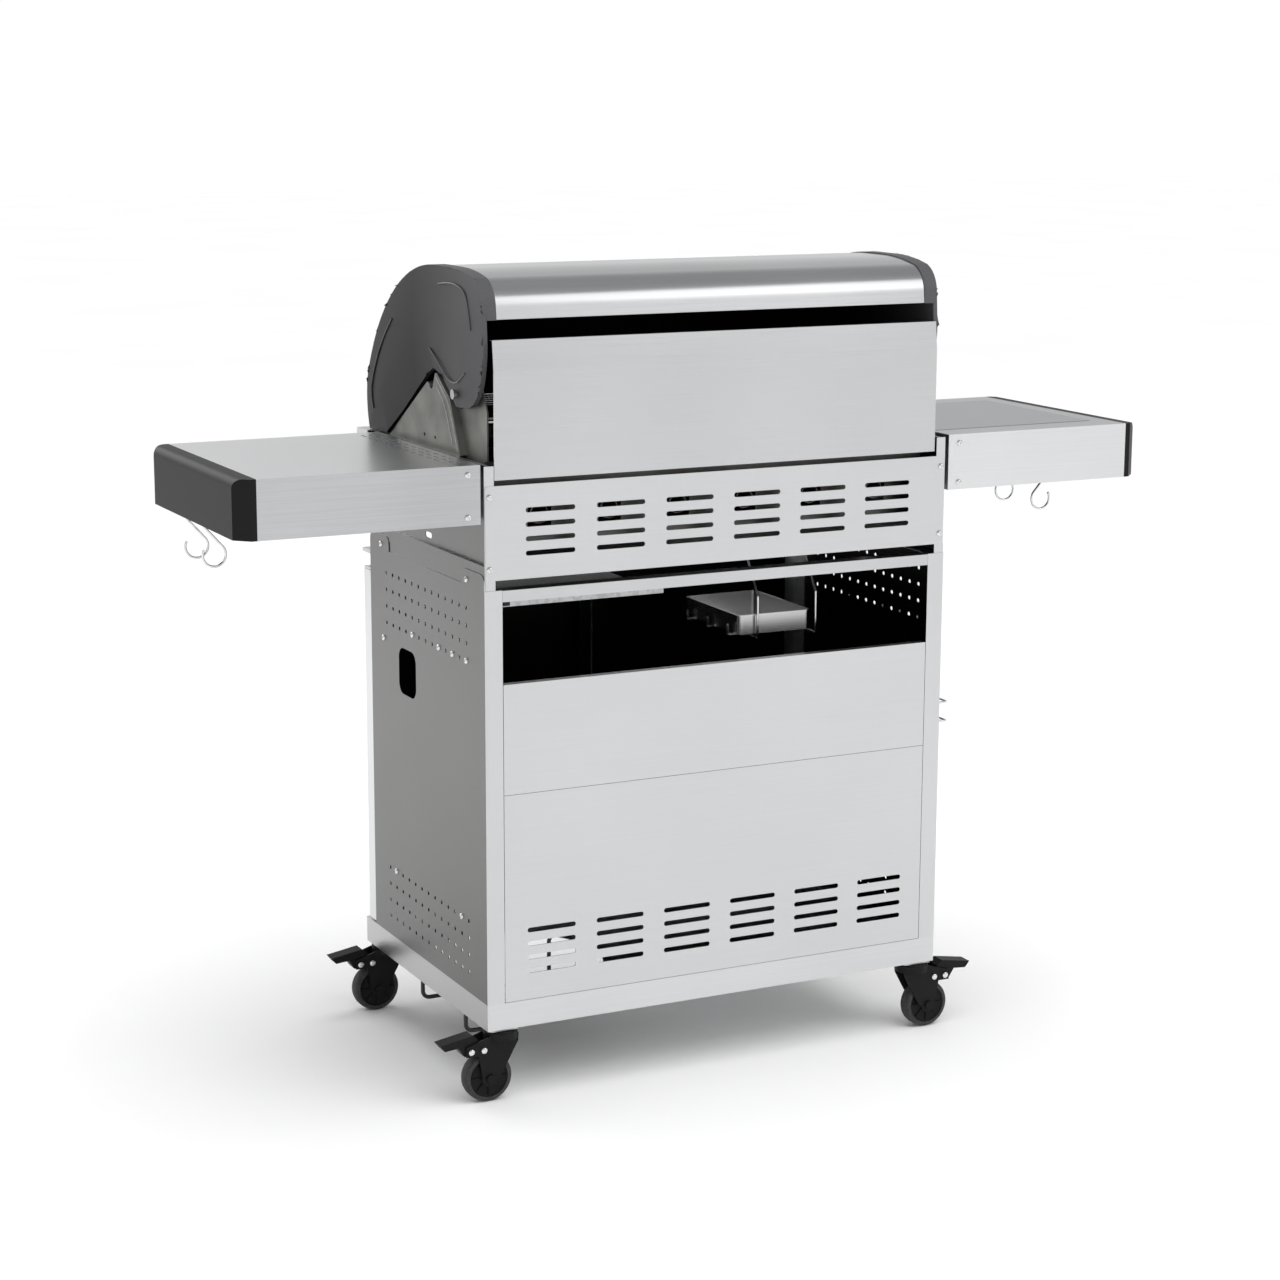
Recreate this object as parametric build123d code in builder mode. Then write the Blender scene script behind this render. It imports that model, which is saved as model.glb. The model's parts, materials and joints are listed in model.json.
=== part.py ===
from build123d import *
import math
import os

os.makedirs("parts", exist_ok=True)

# Six-burner gas barbecue grill on a castor cabinet. Millimetres, +Z up, floor at Z = 0.
# The operator stands on the -Y side and +X is at the operator's right hand. The origin is the
# centre of the whole outline, on the floor.

# ---- Cabinet ----
cabinet_width = 800.0
cabinet_depth = 510.0
sheet = 1.2
castor_height = 115.5
tray_height = 42.0
tray_rim = 32.0
body_height = 641.5
flange_width = 29.0
side_setback = 43.0
seam = 0.3

# ---- Head (firebox housing) ----
head_height = 186.0
head_gap = 15.0
head_panel_height = 141.5
head_rear_flange = 17.0
head_band_height = 36.0
head_jog = 6.0
firebox_gap = 22.0
firebox_margin = 80.0
firebox_depth = cabinet_depth - firebox_margin
casting = 2.5

# ---- Control panel and knobs ----
panel_tilt = 14.4
panel_overhang = 43.0
panel_bottom_lift = 31.0
knob_lift = 106.0
knob_diameter = 50.0
knob_length = 30.0
ridge_inset = 1.0
bezel_diameter = 64.0
bezel_thickness = 4.0
stem_diameter = 6.0
running_gap = 0.05

# ---- Shelves ----
shelf_length = 343.0
shelf_depth = 416.0
shelf_height = 88.5
shelf_step = 3.5
shelf_side_gap = 5.0
shelf_cap = 30.0
shelf_cap_corner = 21.0

# ---- Lid ----
lid_hinge_back = 137.2
lid_hinge_lift = 94.4
lid_cap_thickness = 11.5
lid_rim_width = 15.5
lid_side_inset = 5.0
lid_sheet = 1.0
hinge_bolt_diameter = 8.0

# ---- Fasteners ----
screw_diameter = 5.0
screw_head_diameter = 10.0
screw_head_height = 3.0
screw_length = 9.0
screw_clearance = 0.2

# ---- Burners and their pitch, shared by the vents ----
burner_count = 6
burner_pitch = 116.8
burner_diameter = 30.0

# ---- Vents ----
vent_length = 81.0
vent_width = 7.5
vent_rows = 4
vent_row_pitch = 21.6
perforation = 6.5
perforation_pitch = 27.2
perforation_columns = 13
perforation_rows = 4

# ---- Castors ----
wheel_diameter = 78.0
wheel_width = 24.0
castor_inset = 29.0
castor_inset_y = 19.0
castor_trail = 24.0
castor_head = 54.0
kingpin_diameter = 12.0
axle_diameter = 8.0
fork_sheet = 2.5
fork_side_gap = 1.5

# ---- Levels and stations worked out from the values above ----
half_width = cabinet_width / 2
tilt = math.radians(panel_tilt)
tray_top = castor_height + tray_height
body_top = tray_top + body_height
head_top = body_top + head_height
shelf_top = head_top + shelf_step
panel_bottom = body_top + panel_bottom_lift
knob_height = body_top + knob_lift
knob_setback = (knob_height - panel_bottom) * math.tan(tilt)
knob_stand = bezel_thickness + knob_length
front_reach = (
    panel_overhang
    - knob_setback
    + knob_stand * math.cos(tilt)
    + (knob_diameter / 2 - ridge_inset) * math.sin(tilt)
)
cabinet_y = (front_reach - screw_head_height) / 2
y_front = cabinet_y - cabinet_depth / 2
y_back = cabinet_y + cabinet_depth / 2
side_front = y_front + side_setback
hinge_y = cabinet_y + lid_hinge_back
hinge_z = head_top + lid_hinge_lift
lid_half = half_width - lid_side_inset
cap_inner = lid_half - lid_cap_thickness
skin_half = cap_inner - lid_rim_width
shelf_inner = half_width + shelf_side_gap
shelf_outer = shelf_inner + shelf_length
shelf_front = y_back - shelf_depth
shelf_bottom = shelf_top - shelf_height
burner_x = [(i - (burner_count - 1) / 2) * burner_pitch for i in range(burner_count)]
firebox_half = half_width - firebox_gap
firebox_front = cabinet_y - firebox_depth / 2
firebox_back = cabinet_y + firebox_depth / 2


def block(x_range, y_range, z_range, mode=Mode.ADD):
    """Adds or cuts a rectangular block given by its two limits along X, Y and Z."""
    sizes = [abs(limits[1] - limits[0]) for limits in (x_range, y_range, z_range)]
    centre = [(limits[0] + limits[1]) / 2 for limits in (x_range, y_range, z_range)]
    with Locations(tuple(centre)):
        Box(*sizes, mode=mode)


def side_plane(x, y=0.0, z=0.0):
    """A plane across X: its own x runs along +Y and its own y along +Z."""
    return Plane(origin=(x, y, z), x_dir=(0, 1, 0), z_dir=(1, 0, 0))


def rear_plane(y, z=0.0):
    """A plane that faces +Y: its own x runs along -X and its own y along +Z."""
    return Plane(origin=(0, y, z), x_dir=(-1, 0, 0), z_dir=(0, 1, 0))


def faced(x, y, z, direction):
    """A plane on a surface at a point, with its normal pointing out along a direction."""
    return Plane(origin=(x, y, z), z_dir=direction)


def rod(path, diameter):
    """Sweeps a round rod along a path drawn as a line."""
    start = path @ 0
    with BuildSketch(Plane(origin=start, z_dir=path % 0)) as section:
        Circle(diameter / 2)
    sweep(sections=section.sketch, path=path)


# ---- Where the screws sit: each is a plane on the surface, facing out ----
head_screws = [
    faced(side * (half_width - 9), y_back, body_top + lift, (0, 1, 0))
    for side in (1, -1)
    for lift in (32, 140)
]
shelf_screws = [
    faced(side * (shelf_inner + 20), y_back, shelf_top - drop, (0, 1, 0))
    for side in (1, -1)
    for drop in (14, 77)
]
foot_screws = [
    faced(side * half_width, cabinet_y + y, body_top + 8, (side, 0, 0))
    for side in (1, -1)
    for y in (-164, 187)
]
grid_y = cabinet_y + 21.4
upper_grid_z = tray_top + 565.0
lower_grid_z = tray_top + 74.5
grid_low = -(perforation_rows - 1) / 2 * perforation_pitch
grid_left = -(perforation_columns - 1) / 2 * perforation_pitch
upper_screw_cells = (4, 8, 10, 12)
first_hole_y = grid_y + grid_left
lowest_row_z = upper_grid_z + grid_low
rail_screws = [
    faced(side * half_width, first_hole_y + cell * perforation_pitch, lowest_row_z, (side, 0, 0))
    for side in (1, -1)
    for cell in upper_screw_cells
] + [
    faced(side * half_width, first_hole_y - 15, lowest_row_z - perforation_pitch, (side, 0, 0))
    for side in (1, -1)
]
lower_screw_cells = (1, 11)
low_bolts = [
    faced(side * half_width, first_hole_y + cell * perforation_pitch, lower_grid_z - grid_low, (side, 0, 0))
    for side in (1, -1)
    for cell in lower_screw_cells
]
all_screws = head_screws + shelf_screws + foot_screws + rail_screws + low_bolts


def drill(planes):
    """Cuts the clearance holes of screws that stand on the given planes."""
    with Locations(*planes):
        Cylinder(screw_diameter / 2 + screw_clearance, 2 * screw_length + 2, mode=Mode.SUBTRACT)


with BuildPart() as screws:
    with BuildSketch(*all_screws):
        Circle(screw_diameter / 2)
    extrude(amount=-screw_length)
    with BuildSketch(*all_screws):
        Circle(screw_head_diameter / 2)
    extrude(amount=screw_head_height)
screws.part.label = "screws"
export_step(screws.part, "parts/screws.step")

# ==== Cabinet ====
bottle_x = 235.0
bottle_y = cabinet_y - 41.0
bottle_hole = 312.0

with BuildPart() as base_tray:
    with BuildSketch(Plane.XY.offset(castor_height)):
        with Locations((0, cabinet_y)):
            Rectangle(cabinet_width, cabinet_depth)
    extrude(amount=tray_height)
    with BuildSketch(Plane.XY.offset(castor_height + sheet)):
        with Locations((0, cabinet_y)):
            Rectangle(cabinet_width - 2 * sheet, cabinet_depth - 2 * sheet)
    extrude(amount=tray_height - 2 * sheet, mode=Mode.SUBTRACT)
    with BuildSketch(Plane.XY.offset(tray_top)):
        with Locations((0, cabinet_y)):
            RectangleRounded(cabinet_width - 2 * tray_rim, cabinet_depth - 2 * tray_rim, 10)
    extrude(amount=-2 * sheet, mode=Mode.SUBTRACT)
    with BuildSketch(Plane.XY.offset(castor_height)):
        with Locations((bottle_x, bottle_y)):
            Circle(bottle_hole / 2)
    extrude(amount=2 * sheet, mode=Mode.SUBTRACT)
base_tray.part.label = "base_tray"
export_step(base_tray.part, "parts/base_tray.step")

hose_hole_y = cabinet_y - 56.2
hose_hole_z = tray_top + 457.5


def side_panel(side, with_hose_hole):
    """A perforated side sheet with flanges folded in at its front and rear edges."""
    outer = side * half_width
    block((outer - side * sheet, outer), (side_front, y_back), (tray_top, body_top))
    for edge in (side_front, y_back - sheet):
        block((outer - side * flange_width, outer), (edge, edge + sheet), (tray_top, body_top))
    for grid_z in (upper_grid_z, lower_grid_z):
        with BuildSketch(side_plane(outer - side * sheet, grid_y, grid_z)) as grid:
            with GridLocations(perforation_pitch, perforation_pitch, perforation_columns, perforation_rows):
                Circle(perforation / 2)
        extrude(grid.sketch, amount=side * 2 * sheet, mode=Mode.SUBTRACT)
    if with_hose_hole:
        with BuildSketch(side_plane(outer - side * sheet, hose_hole_y, hose_hole_z)) as hose_hole:
            RectangleRounded(72, 75, 18)
        extrude(hose_hole.sketch, amount=side * 2 * sheet, mode=Mode.SUBTRACT)
    drill(rail_screws + low_bolts)


with BuildPart() as side_panel_right:
    side_panel(1, True)
side_panel_right.part.label = "side_panel_right"
export_step(side_panel_right.part, "parts/side_panel_right.step")

with BuildPart() as side_panel_left:
    side_panel(-1, False)
side_panel_left.part.label = "side_panel_left"
export_step(side_panel_left.part, "parts/side_panel_left.step")

# Corner posts, top rails and the lip that closes the front of the cabinet above the doors
post = 26.0
post_inset = half_width - sheet
rail_height = 16.0
lip_height = 6.0
lip_reach = 35.0
inlet_x = half_width - 60
hose_notch = 18.0
door_gap = 3.0
door_height = 594.0
door_bottom = tray_top + door_gap
door_top = door_bottom + door_height
door_thickness = 30.0
door_front = y_front + 9.0
door_half = half_width - 2.0
door_hinge_x = half_width - 9.0
door_hinge_y = door_front + door_thickness / 2
door_pin = 6.0
inner_front = side_front + sheet
inner_back = y_back - sheet

with BuildPart() as cabinet_frame:
    for side in (1, -1):
        face = side * post_inset
        for corner, inward in ((inner_front, 1), (inner_back, -1)):
            block((face - side * sheet, face), (corner, corner + inward * post), (tray_top, body_top))
            block((face - side * post, face), (corner, corner + inward * sheet), (tray_top, body_top))
        block(
            (face - side * (sheet + seam), face - side * post),
            (inner_front + sheet + seam, inner_back - sheet - seam),
            (body_top - sheet, body_top),
        )
        block(
            (side * (door_hinge_x - 12), side * (half_width - sheet)),
            (door_front + 3, side_front),
            (door_top + 1.5, door_top + 4.5),
        )
        with Locations((side * door_hinge_x, door_hinge_y, door_top + 3)):
            Cylinder(door_pin / 2 + running_gap, 6, mode=Mode.SUBTRACT)
    rail_half = half_width - flange_width - seam
    block((-rail_half, rail_half), (y_back - sheet, y_back), (body_top - rail_height - 2, body_top - 2))
    block((-rail_half, rail_half), (y_back - post, y_back), (body_top - 2, body_top - 2 + sheet))
    block(
        (-rail_half, rail_half),
        (y_back - 12, y_back),
        (body_top - rail_height - 2, body_top - rail_height - 0.8),
    )
    block(
        (-half_width, half_width),
        (side_front - lip_reach, side_front - seam),
        (body_top - 16, body_top - 16 + lip_height),
    )
    block(
        (-rail_half, rail_half),
        (side_front - seam, side_front + post),
        (body_top - 16, body_top - 16 + sheet),
    )
    block(
        (inlet_x - hose_notch, inlet_x + hose_notch),
        (side_front - lip_reach, side_front - lip_reach + hose_notch),
        (body_top - 16, body_top - 16 + lip_height),
        mode=Mode.SUBTRACT,
    )
    drill(rail_screws + low_bolts)
cabinet_frame.part.label = "cabinet_frame"
export_step(cabinet_frame.part, "parts/cabinet_frame.step")

# Rear panels: the lower one is slotted, and the upper one leaves the cabinet open above it
rear_half = half_width - flange_width - 0.8
lower_panel_top = tray_top + 326.5
upper_panel_top = tray_top + 497.5
vent_z = tray_top + 78.5


def vents(centre_z):
    """Six groups of slots through the rear, one group behind each burner."""
    for x in burner_x:
        with BuildSketch(Plane(origin=(x, y_back + 1, centre_z), x_dir=(-1, 0, 0), z_dir=(0, 1, 0))) as group:
            with GridLocations(vent_length, vent_row_pitch, 1, vent_rows):
                SlotOverall(vent_length, vent_width)
        extrude(group.sketch, amount=-2 * sheet - 1, mode=Mode.SUBTRACT)


hem = 14.0
with BuildPart() as rear_panel_lower:
    block((-rear_half, rear_half), (inner_back, y_back), (tray_top + 0.6, lower_panel_top))
    block((-rear_half, rear_half), (y_back - hem, y_back), (lower_panel_top - sheet, lower_panel_top))
    block((-rear_half, rear_half), (y_back - hem, y_back), (tray_top + 0.6, tray_top + 0.6 + sheet))
    vents(vent_z)
rear_panel_lower.part.label = "rear_panel_lower"
export_step(rear_panel_lower.part, "parts/rear_panel_lower.step")

with BuildPart() as rear_panel_upper:
    block((-rear_half, rear_half), (inner_back, y_back), (lower_panel_top + 0.6, upper_panel_top))
    block((-rear_half, rear_half), (y_back - hem, y_back), (upper_panel_top - sheet, upper_panel_top))
    block(
        (-rear_half, rear_half),
        (y_back - hem, y_back),
        (lower_panel_top + 0.6, lower_panel_top + 0.6 + sheet),
    )
rear_panel_upper.part.label = "rear_panel_upper"
export_step(rear_panel_upper.part, "parts/rear_panel_upper.step")

# Sheet over the gas bottle that keeps the firebox's heat off it
shield_z = body_top - 26.0
with BuildPart() as heat_shield:
    block((101, 357), (cabinet_y - 130, inner_back - 3), (shield_z, shield_z + sheet))
    block((101, 357), (inner_back - 3 - sheet, inner_back - 3), (shield_z, shield_z + 8))
    block((357, post_inset - post), (cabinet_y - 130, inner_back - 3), (shield_z, shield_z + sheet))
    block(
        (post_inset - post - sheet, post_inset - post),
        (cabinet_y - 130, inner_back - 3),
        (shield_z, body_top - sheet),
    )
heat_shield.part.label = "heat_shield"
export_step(heat_shield.part, "parts/heat_shield.step")

# Wire cradle that carries the bottle below the tray
cradle_rod = 7.0
cradle_drop = 72.0
cradle_span = 230.0
cradle_gap = 182.0
with BuildPart() as bottle_cradle:
    low = castor_height - cradle_drop
    high = castor_height + sheet + cradle_rod / 2
    for y in (bottle_y - cradle_gap / 2, bottle_y + cradle_gap / 2):
        with BuildLine() as loop:
            FilletPolyline(
                (bottle_x - cradle_span / 2 - 40, y, high),
                (bottle_x - cradle_span / 2, y, high),
                (bottle_x - cradle_span / 2, y, low),
                (bottle_x + cradle_span / 2, y, low),
                (bottle_x + cradle_span / 2, y, high),
                (bottle_x + cradle_span / 2 + 40, y, high),
                radius=12,
            )
        rod(loop.line, cradle_rod)
    for x in (bottle_x - 60, bottle_x + 60):
        with BuildLine() as tie:
            Line(
                (x, bottle_y - cradle_gap / 2, low + cradle_rod / 2),
                (x, bottle_y + cradle_gap / 2, low + cradle_rod / 2),
            )
        rod(tie.line, cradle_rod - 2)
bottle_cradle.part.label = "bottle_cradle"
export_step(bottle_cradle.part, "parts/bottle_cradle.step")

# Chromed wire holder on the outside of the left panel
holder_wire = 3.6
holder_reach = 46.0
with BuildPart() as wire_holder:
    wall = -half_width
    outside = wall - holder_reach
    back = cabinet_y + 206
    with BuildLine() as holder_path:
        FilletPolyline(
            (wall, back - 150, tray_top + 382),
            (outside, back - 150, tray_top + 382),
            (outside, back, tray_top + 382),
            (wall - 8, back, tray_top + 380),
            (wall - 8, back, tray_top + 352),
            (outside, back, tray_top + 350),
            (outside, back - 150, tray_top + 350),
            (wall, back - 150, tray_top + 350),
            radius=[7, 5, 12, 12, 5, 7],
        )
    rod(holder_path.line, holder_wire)
wire_holder.part.label = "wire_holder"
export_step(wire_holder.part, "parts/wire_holder.step")

# Doors: folded pans that swing on pins at their outer edges
door_split = 1.5
door_skin = 1.0
handle_bar = 14.0
handle_length = 320.0
handle_stand = 34.0
handle_z = door_bottom + door_height * 0.62


def door(side):
    """A folded door pan with a bored block in each outer corner for its hinge pins."""
    inner = side * door_split
    outer = side * door_half
    block((inner, outer), (door_front, door_front + door_thickness), (door_bottom, door_top))
    block(
        (inner + side * door_skin, outer - side * door_skin),
        (door_front + door_skin, door_front + door_thickness - door_skin),
        (door_bottom + door_skin, door_top - door_skin),
        mode=Mode.SUBTRACT,
    )
    block(
        (inner + side * 20, outer - side * 20),
        (door_front + door_skin, door_front + door_thickness),
        (door_bottom + 20, door_top - 20),
        mode=Mode.SUBTRACT,
    )
    for low in (door_bottom, door_top - 20):
        block((side * (door_hinge_x - 8), outer), (door_hinge_y - 8, door_hinge_y + 8), (low, low + 20))
    with Locations((side * door_hinge_x, door_hinge_y, (door_bottom + door_top) / 2)):
        Cylinder(door_pin / 2 + running_gap, door_height + 2, mode=Mode.SUBTRACT)


with BuildPart() as door_right:
    door(1)
door_right.part.label = "door_right"
export_step(door_right.part, "parts/door_right.step")

with BuildPart() as door_left:
    door(-1)
door_left.part.label = "door_left"
export_step(door_left.part, "parts/door_left.step")

with BuildPart() as door_hinge_pins:
    for side in (1, -1):
        with Locations((side * door_hinge_x, door_hinge_y)):
            with Locations((0, 0, tray_top + 9)):
                Cylinder(door_pin / 2, 18)
            with Locations((0, 0, door_top - 6)):
                Cylinder(door_pin / 2, 24)
door_hinge_pins.part.label = "door_hinge_pins"
export_step(door_hinge_pins.part, "parts/door_hinge_pins.step")

handle_x = 30.0


def door_handle(side):
    """A tubular bar on two posts, screwed to the door's face."""
    with Locations((side * handle_x, door_front - handle_stand, handle_z)):
        Cylinder(handle_bar / 2, handle_length)
    fillet(edges().filter_by(GeomType.CIRCLE), 3)
    post_drop = handle_length / 2 - 30
    post_feet = [
        faced(side * handle_x, door_front, handle_z + end, (0, -1, 0)) for end in (-post_drop, post_drop)
    ]
    with BuildSketch(*post_feet) as posts:
        Circle(6)
    extrude(posts.sketch, amount=handle_stand)


with BuildPart() as door_handle_right:
    door_handle(1)
door_handle_right.part.label = "door_handle_right"
export_step(door_handle_right.part, "parts/door_handle_right.step")

with BuildPart() as door_handle_left:
    door_handle(-1)
door_handle_left.part.label = "door_handle_left"
export_step(door_handle_left.part, "parts/door_handle_left.step")

# ==== Castors ====
castor_x = half_width - castor_inset
castor_y = cabinet_depth / 2 - castor_inset_y
castors = [(1, 1), (1, -1), (-1, 1), (-1, -1)]
axle_z = wheel_diameter / 2
plate_thickness = 2.5
fork_top = castor_height - plate_thickness - 1.0
head_thickness = 14.0
fork_half = wheel_width / 2 + fork_side_gap
pedal_pivot_x = 55.0
pedal_pivot_z = fork_top - 26.0
pedal_pin = 9.0
pedal_width = 25.0
lock_pin_x = 34.0

with BuildPart() as castor_plates:
    for side, end in castors:
        spot = (side * castor_x, cabinet_y + end * castor_y)
        with BuildSketch(Plane.XY.offset(castor_height - plate_thickness)):
            with Locations(spot):
                RectangleRounded(castor_head - 2, 36, 8)
        extrude(amount=plate_thickness)
        with BuildSketch(Plane.XY.offset(castor_height)):
            with Locations(spot):
                Circle(kingpin_diameter / 2)
        extrude(amount=-(head_thickness + 6))
        with BuildSketch(Plane.XY.offset(fork_top - head_thickness - seam)):
            with Locations(spot):
                Circle(kingpin_diameter / 2 + 3)
        extrude(amount=-3)
castor_plates.part.label = "castor_plates"
export_step(castor_plates.part, "parts/castor_plates.step")

for number, (side, end) in enumerate(castors, start=1):
    castor_origin = (side * castor_x, cabinet_y + end * castor_y)
    axle_x = castor_origin[0] + side * castor_trail
    upright = Plane(origin=(castor_origin[0], castor_origin[1], 0), x_dir=(side, 0, 0), z_dir=(0, -side, 0))

    with BuildPart() as castor_fork:
        with BuildSketch(Plane.XY.offset(fork_top)):
            with Locations(castor_origin):
                Circle(castor_head / 2)
        extrude(amount=-head_thickness)
        fillet(edges().filter_by(GeomType.CIRCLE).group_by(Axis.Z)[-1], 3)
        for offset_out in (fork_half, -fork_half - fork_sheet):
            with BuildSketch(upright.offset(offset_out)):
                with BuildLine():
                    Polyline(
                        (-castor_head / 2 + 3, fork_top - 6),
                        (-castor_head / 2 + 4, fork_top - head_thickness - 4),
                        (castor_trail - 17, axle_z),
                        (castor_trail + 12, axle_z),
                        (lock_pin_x + 9, pedal_pivot_z - 8),
                        (pedal_pivot_x + 8, pedal_pivot_z - 8),
                        (pedal_pivot_x + 8, pedal_pivot_z + 8),
                        (castor_head / 2 - 3, fork_top - 6),
                        close=True,
                    )
                make_face()
                with Locations((castor_trail, axle_z)):
                    Circle(13)
            extrude(amount=fork_sheet)
        with BuildSketch(upright.offset(-fork_half - fork_sheet - 3)):
            with Locations((castor_trail, axle_z)):
                Circle(axle_diameter / 2)
        extrude(amount=2 * (fork_half + fork_sheet + 3))
        with BuildSketch(upright.offset(fork_half + fork_sheet), upright.offset(-fork_half - fork_sheet - 4)):
            with Locations((castor_trail, axle_z)):
                RegularPolygon(7, 6)
        extrude(amount=4)
        with BuildSketch(upright.offset(-fork_half - fork_sheet - 1.5)):
            with Locations((pedal_pivot_x, pedal_pivot_z), (lock_pin_x, pedal_pivot_z)):
                Circle(pedal_pin / 2)
        extrude(amount=2 * (fork_half + fork_sheet + 1.5))
        with Locations((castor_origin[0], castor_origin[1], fork_top - head_thickness / 2)):
            Cylinder(kingpin_diameter / 2 + running_gap, head_thickness + 8, mode=Mode.SUBTRACT)
    castor_fork.part.label = f"castor_fork_{number}"
    export_step(castor_fork.part, f"parts/castor_fork_{number}.step")

    with BuildPart() as castor_wheel:
        with BuildSketch(upright.offset(-wheel_width / 2)):
            with Locations((castor_trail, axle_z)):
                Circle(wheel_diameter / 2)
        extrude(amount=wheel_width)
        fillet(edges().filter_by(GeomType.CIRCLE), 4)
        with BuildSketch(upright.offset(wheel_width / 2), upright.offset(-wheel_width / 2 + 3)):
            with Locations((castor_trail, axle_z)):
                Circle(wheel_diameter / 2 - 9)
                Circle(12, mode=Mode.SUBTRACT)
        extrude(amount=-3, mode=Mode.SUBTRACT)
        with BuildSketch(upright.offset(-wheel_width / 2 - fork_side_gap + seam)):
            with Locations((castor_trail, axle_z)):
                Circle(10)
        extrude(amount=wheel_width + 2 * (fork_side_gap - seam))
        with BuildSketch(upright.offset(-wheel_width)):
            with Locations((castor_trail, axle_z)):
                Circle(axle_diameter / 2 + running_gap)
        extrude(amount=2 * wheel_width, mode=Mode.SUBTRACT)
    castor_wheel.part.label = f"castor_wheel_{number}"
    export_step(castor_wheel.part, f"parts/castor_wheel_{number}.step")

    with BuildPart() as castor_pedal:
        with BuildSketch(upright.offset(-pedal_width / 2)):
            with BuildLine():
                Polyline(
                    (pedal_pivot_x - 13, pedal_pivot_z + 17),
                    (pedal_pivot_x - 4, pedal_pivot_z + 25),
                    (pedal_pivot_x + 50, pedal_pivot_z + 16),
                    (pedal_pivot_x + 42, pedal_pivot_z + 6),
                    (pedal_pivot_x + 20, pedal_pivot_z + 8),
                    (pedal_pivot_x + 10, pedal_pivot_z - 7),
                    (pedal_pivot_x - 6, pedal_pivot_z - 7),
                    (pedal_pivot_x - 9, pedal_pivot_z + 4),
                    close=True,
                )
            make_face()
            with Locations((pedal_pivot_x, pedal_pivot_z)):
                Circle(pedal_pin / 2 + running_gap, mode=Mode.SUBTRACT)
        extrude(amount=pedal_width)
    castor_pedal.part.label = f"castor_pedal_{number}"
    export_step(castor_pedal.part, f"parts/castor_pedal_{number}.step")

# ==== Head ====
side_face = half_width - sheet
jog_face = side_face - head_jog
band_top = body_top + head_band_height
foot_length = 82.0
foot_back_length = 86.0
foot_height = 24.0
peak_thickness = 12.0
end_inner = firebox_half - 4
end_outer = end_inner + casting
peak_outer = end_outer + peak_thickness

with BuildPart() as head_sides:
    for side in (1, -1):
        low_face = side * side_face
        high_face = side * jog_face
        block((low_face - side * sheet, low_face), (side_front, inner_back), (body_top, band_top))
        block((high_face - side * sheet, low_face), (side_front, inner_back), (band_top, band_top + sheet))
        block((high_face - side * sheet, high_face), (side_front, inner_back), (band_top, head_top))
        block((side * (peak_outer + 0.5), high_face), (side_front, inner_back), (head_top - sheet, head_top))
        block(
            (side * (half_width - head_rear_flange), side * (half_width - 1)),
            (inner_back - sheet, inner_back),
            (body_top, head_top),
        )
        for start, length in ((side_front, foot_length), (inner_back - foot_back_length, foot_back_length)):
            with BuildSketch(side_plane(side * side_face, start + length / 2, body_top + foot_height / 2)):
                Rectangle(length, foot_height)
                fillet(vertices().group_by(Axis.Y)[-1], 14)
            extrude(amount=side * sheet)
        with BuildSketch(side_plane(high_face - side * sheet, cabinet_y + 22, band_top + 14)):
            SlotOverall(26, 9)
        extrude(amount=side * 2 * sheet, mode=Mode.SUBTRACT)
    drill(foot_screws + head_screws)
head_sides.part.label = "head_sides"
export_step(head_sides.part, "parts/head_sides.step")

with BuildPart() as head_rear_panel:
    low = body_top + head_gap
    panel_edge = half_width - 2
    with BuildSketch(rear_plane(inner_back)):
        with BuildLine():
            Polyline(
                (-panel_edge, body_top + 0.6),
                (-panel_edge, low + head_panel_height),
                (panel_edge, low + head_panel_height),
                (panel_edge, body_top + 0.6),
                (panel_edge - 16, body_top + 0.6),
                (panel_edge - 16, low),
                (16 - panel_edge, low),
                (16 - panel_edge, body_top + 0.6),
                close=True,
            )
        make_face()
        fillet(vertices().group_by(Axis.Y)[-1], 5)
    extrude(amount=sheet)
    block((16 - panel_edge, panel_edge - 16), (y_back - 13, inner_back), (low, low + sheet))
    vents(body_top + 85.4)
    drill(head_screws)
head_rear_panel.part.label = "head_rear_panel"
export_step(head_rear_panel.part, "parts/head_rear_panel.step")

# Firebox: two cast end walls with raised spit supports, and a sheet trough between them
trough_bottom = body_top + 8
hopper_top = body_top + 50

with BuildPart() as firebox_ends:
    for side in (1, -1):
        with BuildSketch(side_plane(side * end_inner, hinge_y, hinge_z)):
            with BuildLine():
                Polyline(
                    (-lid_hinge_back - firebox_depth / 2, hopper_top - hinge_z),
                    (-lid_hinge_back - firebox_depth / 2, -100),
                    (-284, -95),
                    (-124, 4),
                    (-108, -4),
                    (-91, 19),
                    (-36, -8),
                    (-14, 14),
                    (60, 14),
                    (78, -20),
                    (78, hopper_top - hinge_z),
                    close=True,
                )
            make_face()
        extrude(amount=side * casting)
        with BuildSketch(side_plane(side * end_outer, hinge_y, hinge_z)):
            with BuildLine():
                Polyline((-285, -93.9), (-123.9, 6.6), (-116, 3.5))
                ThreePointArc((-116, 3.5), (-107.5, -3), (-101, 5))
                Polyline((-101, 5), (-92, 22.6), (-86, 22.6), (-35.9, -10.4), (3.5, -92.4))
                Polyline((3.5, -92.4), (-6, -98), (-285, -98), (-285, -93.9))
            make_face()
        extrude(amount=side * peak_thickness)
        with BuildSketch(side_plane(side * end_inner, hinge_y, hinge_z)):
            with Locations((-137, -76.4), (-94.3, -76.4)):
                Circle(3)
        extrude(amount=side * (casting + peak_thickness), mode=Mode.SUBTRACT)
        with BuildSketch(side_plane(side * end_inner, hinge_y, hinge_z)):
            Circle(hinge_bolt_diameter / 2)
        extrude(amount=side * casting, mode=Mode.SUBTRACT)
firebox_ends.part.label = "firebox_ends"
export_step(firebox_ends.part, "parts/firebox_ends.step")

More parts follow.
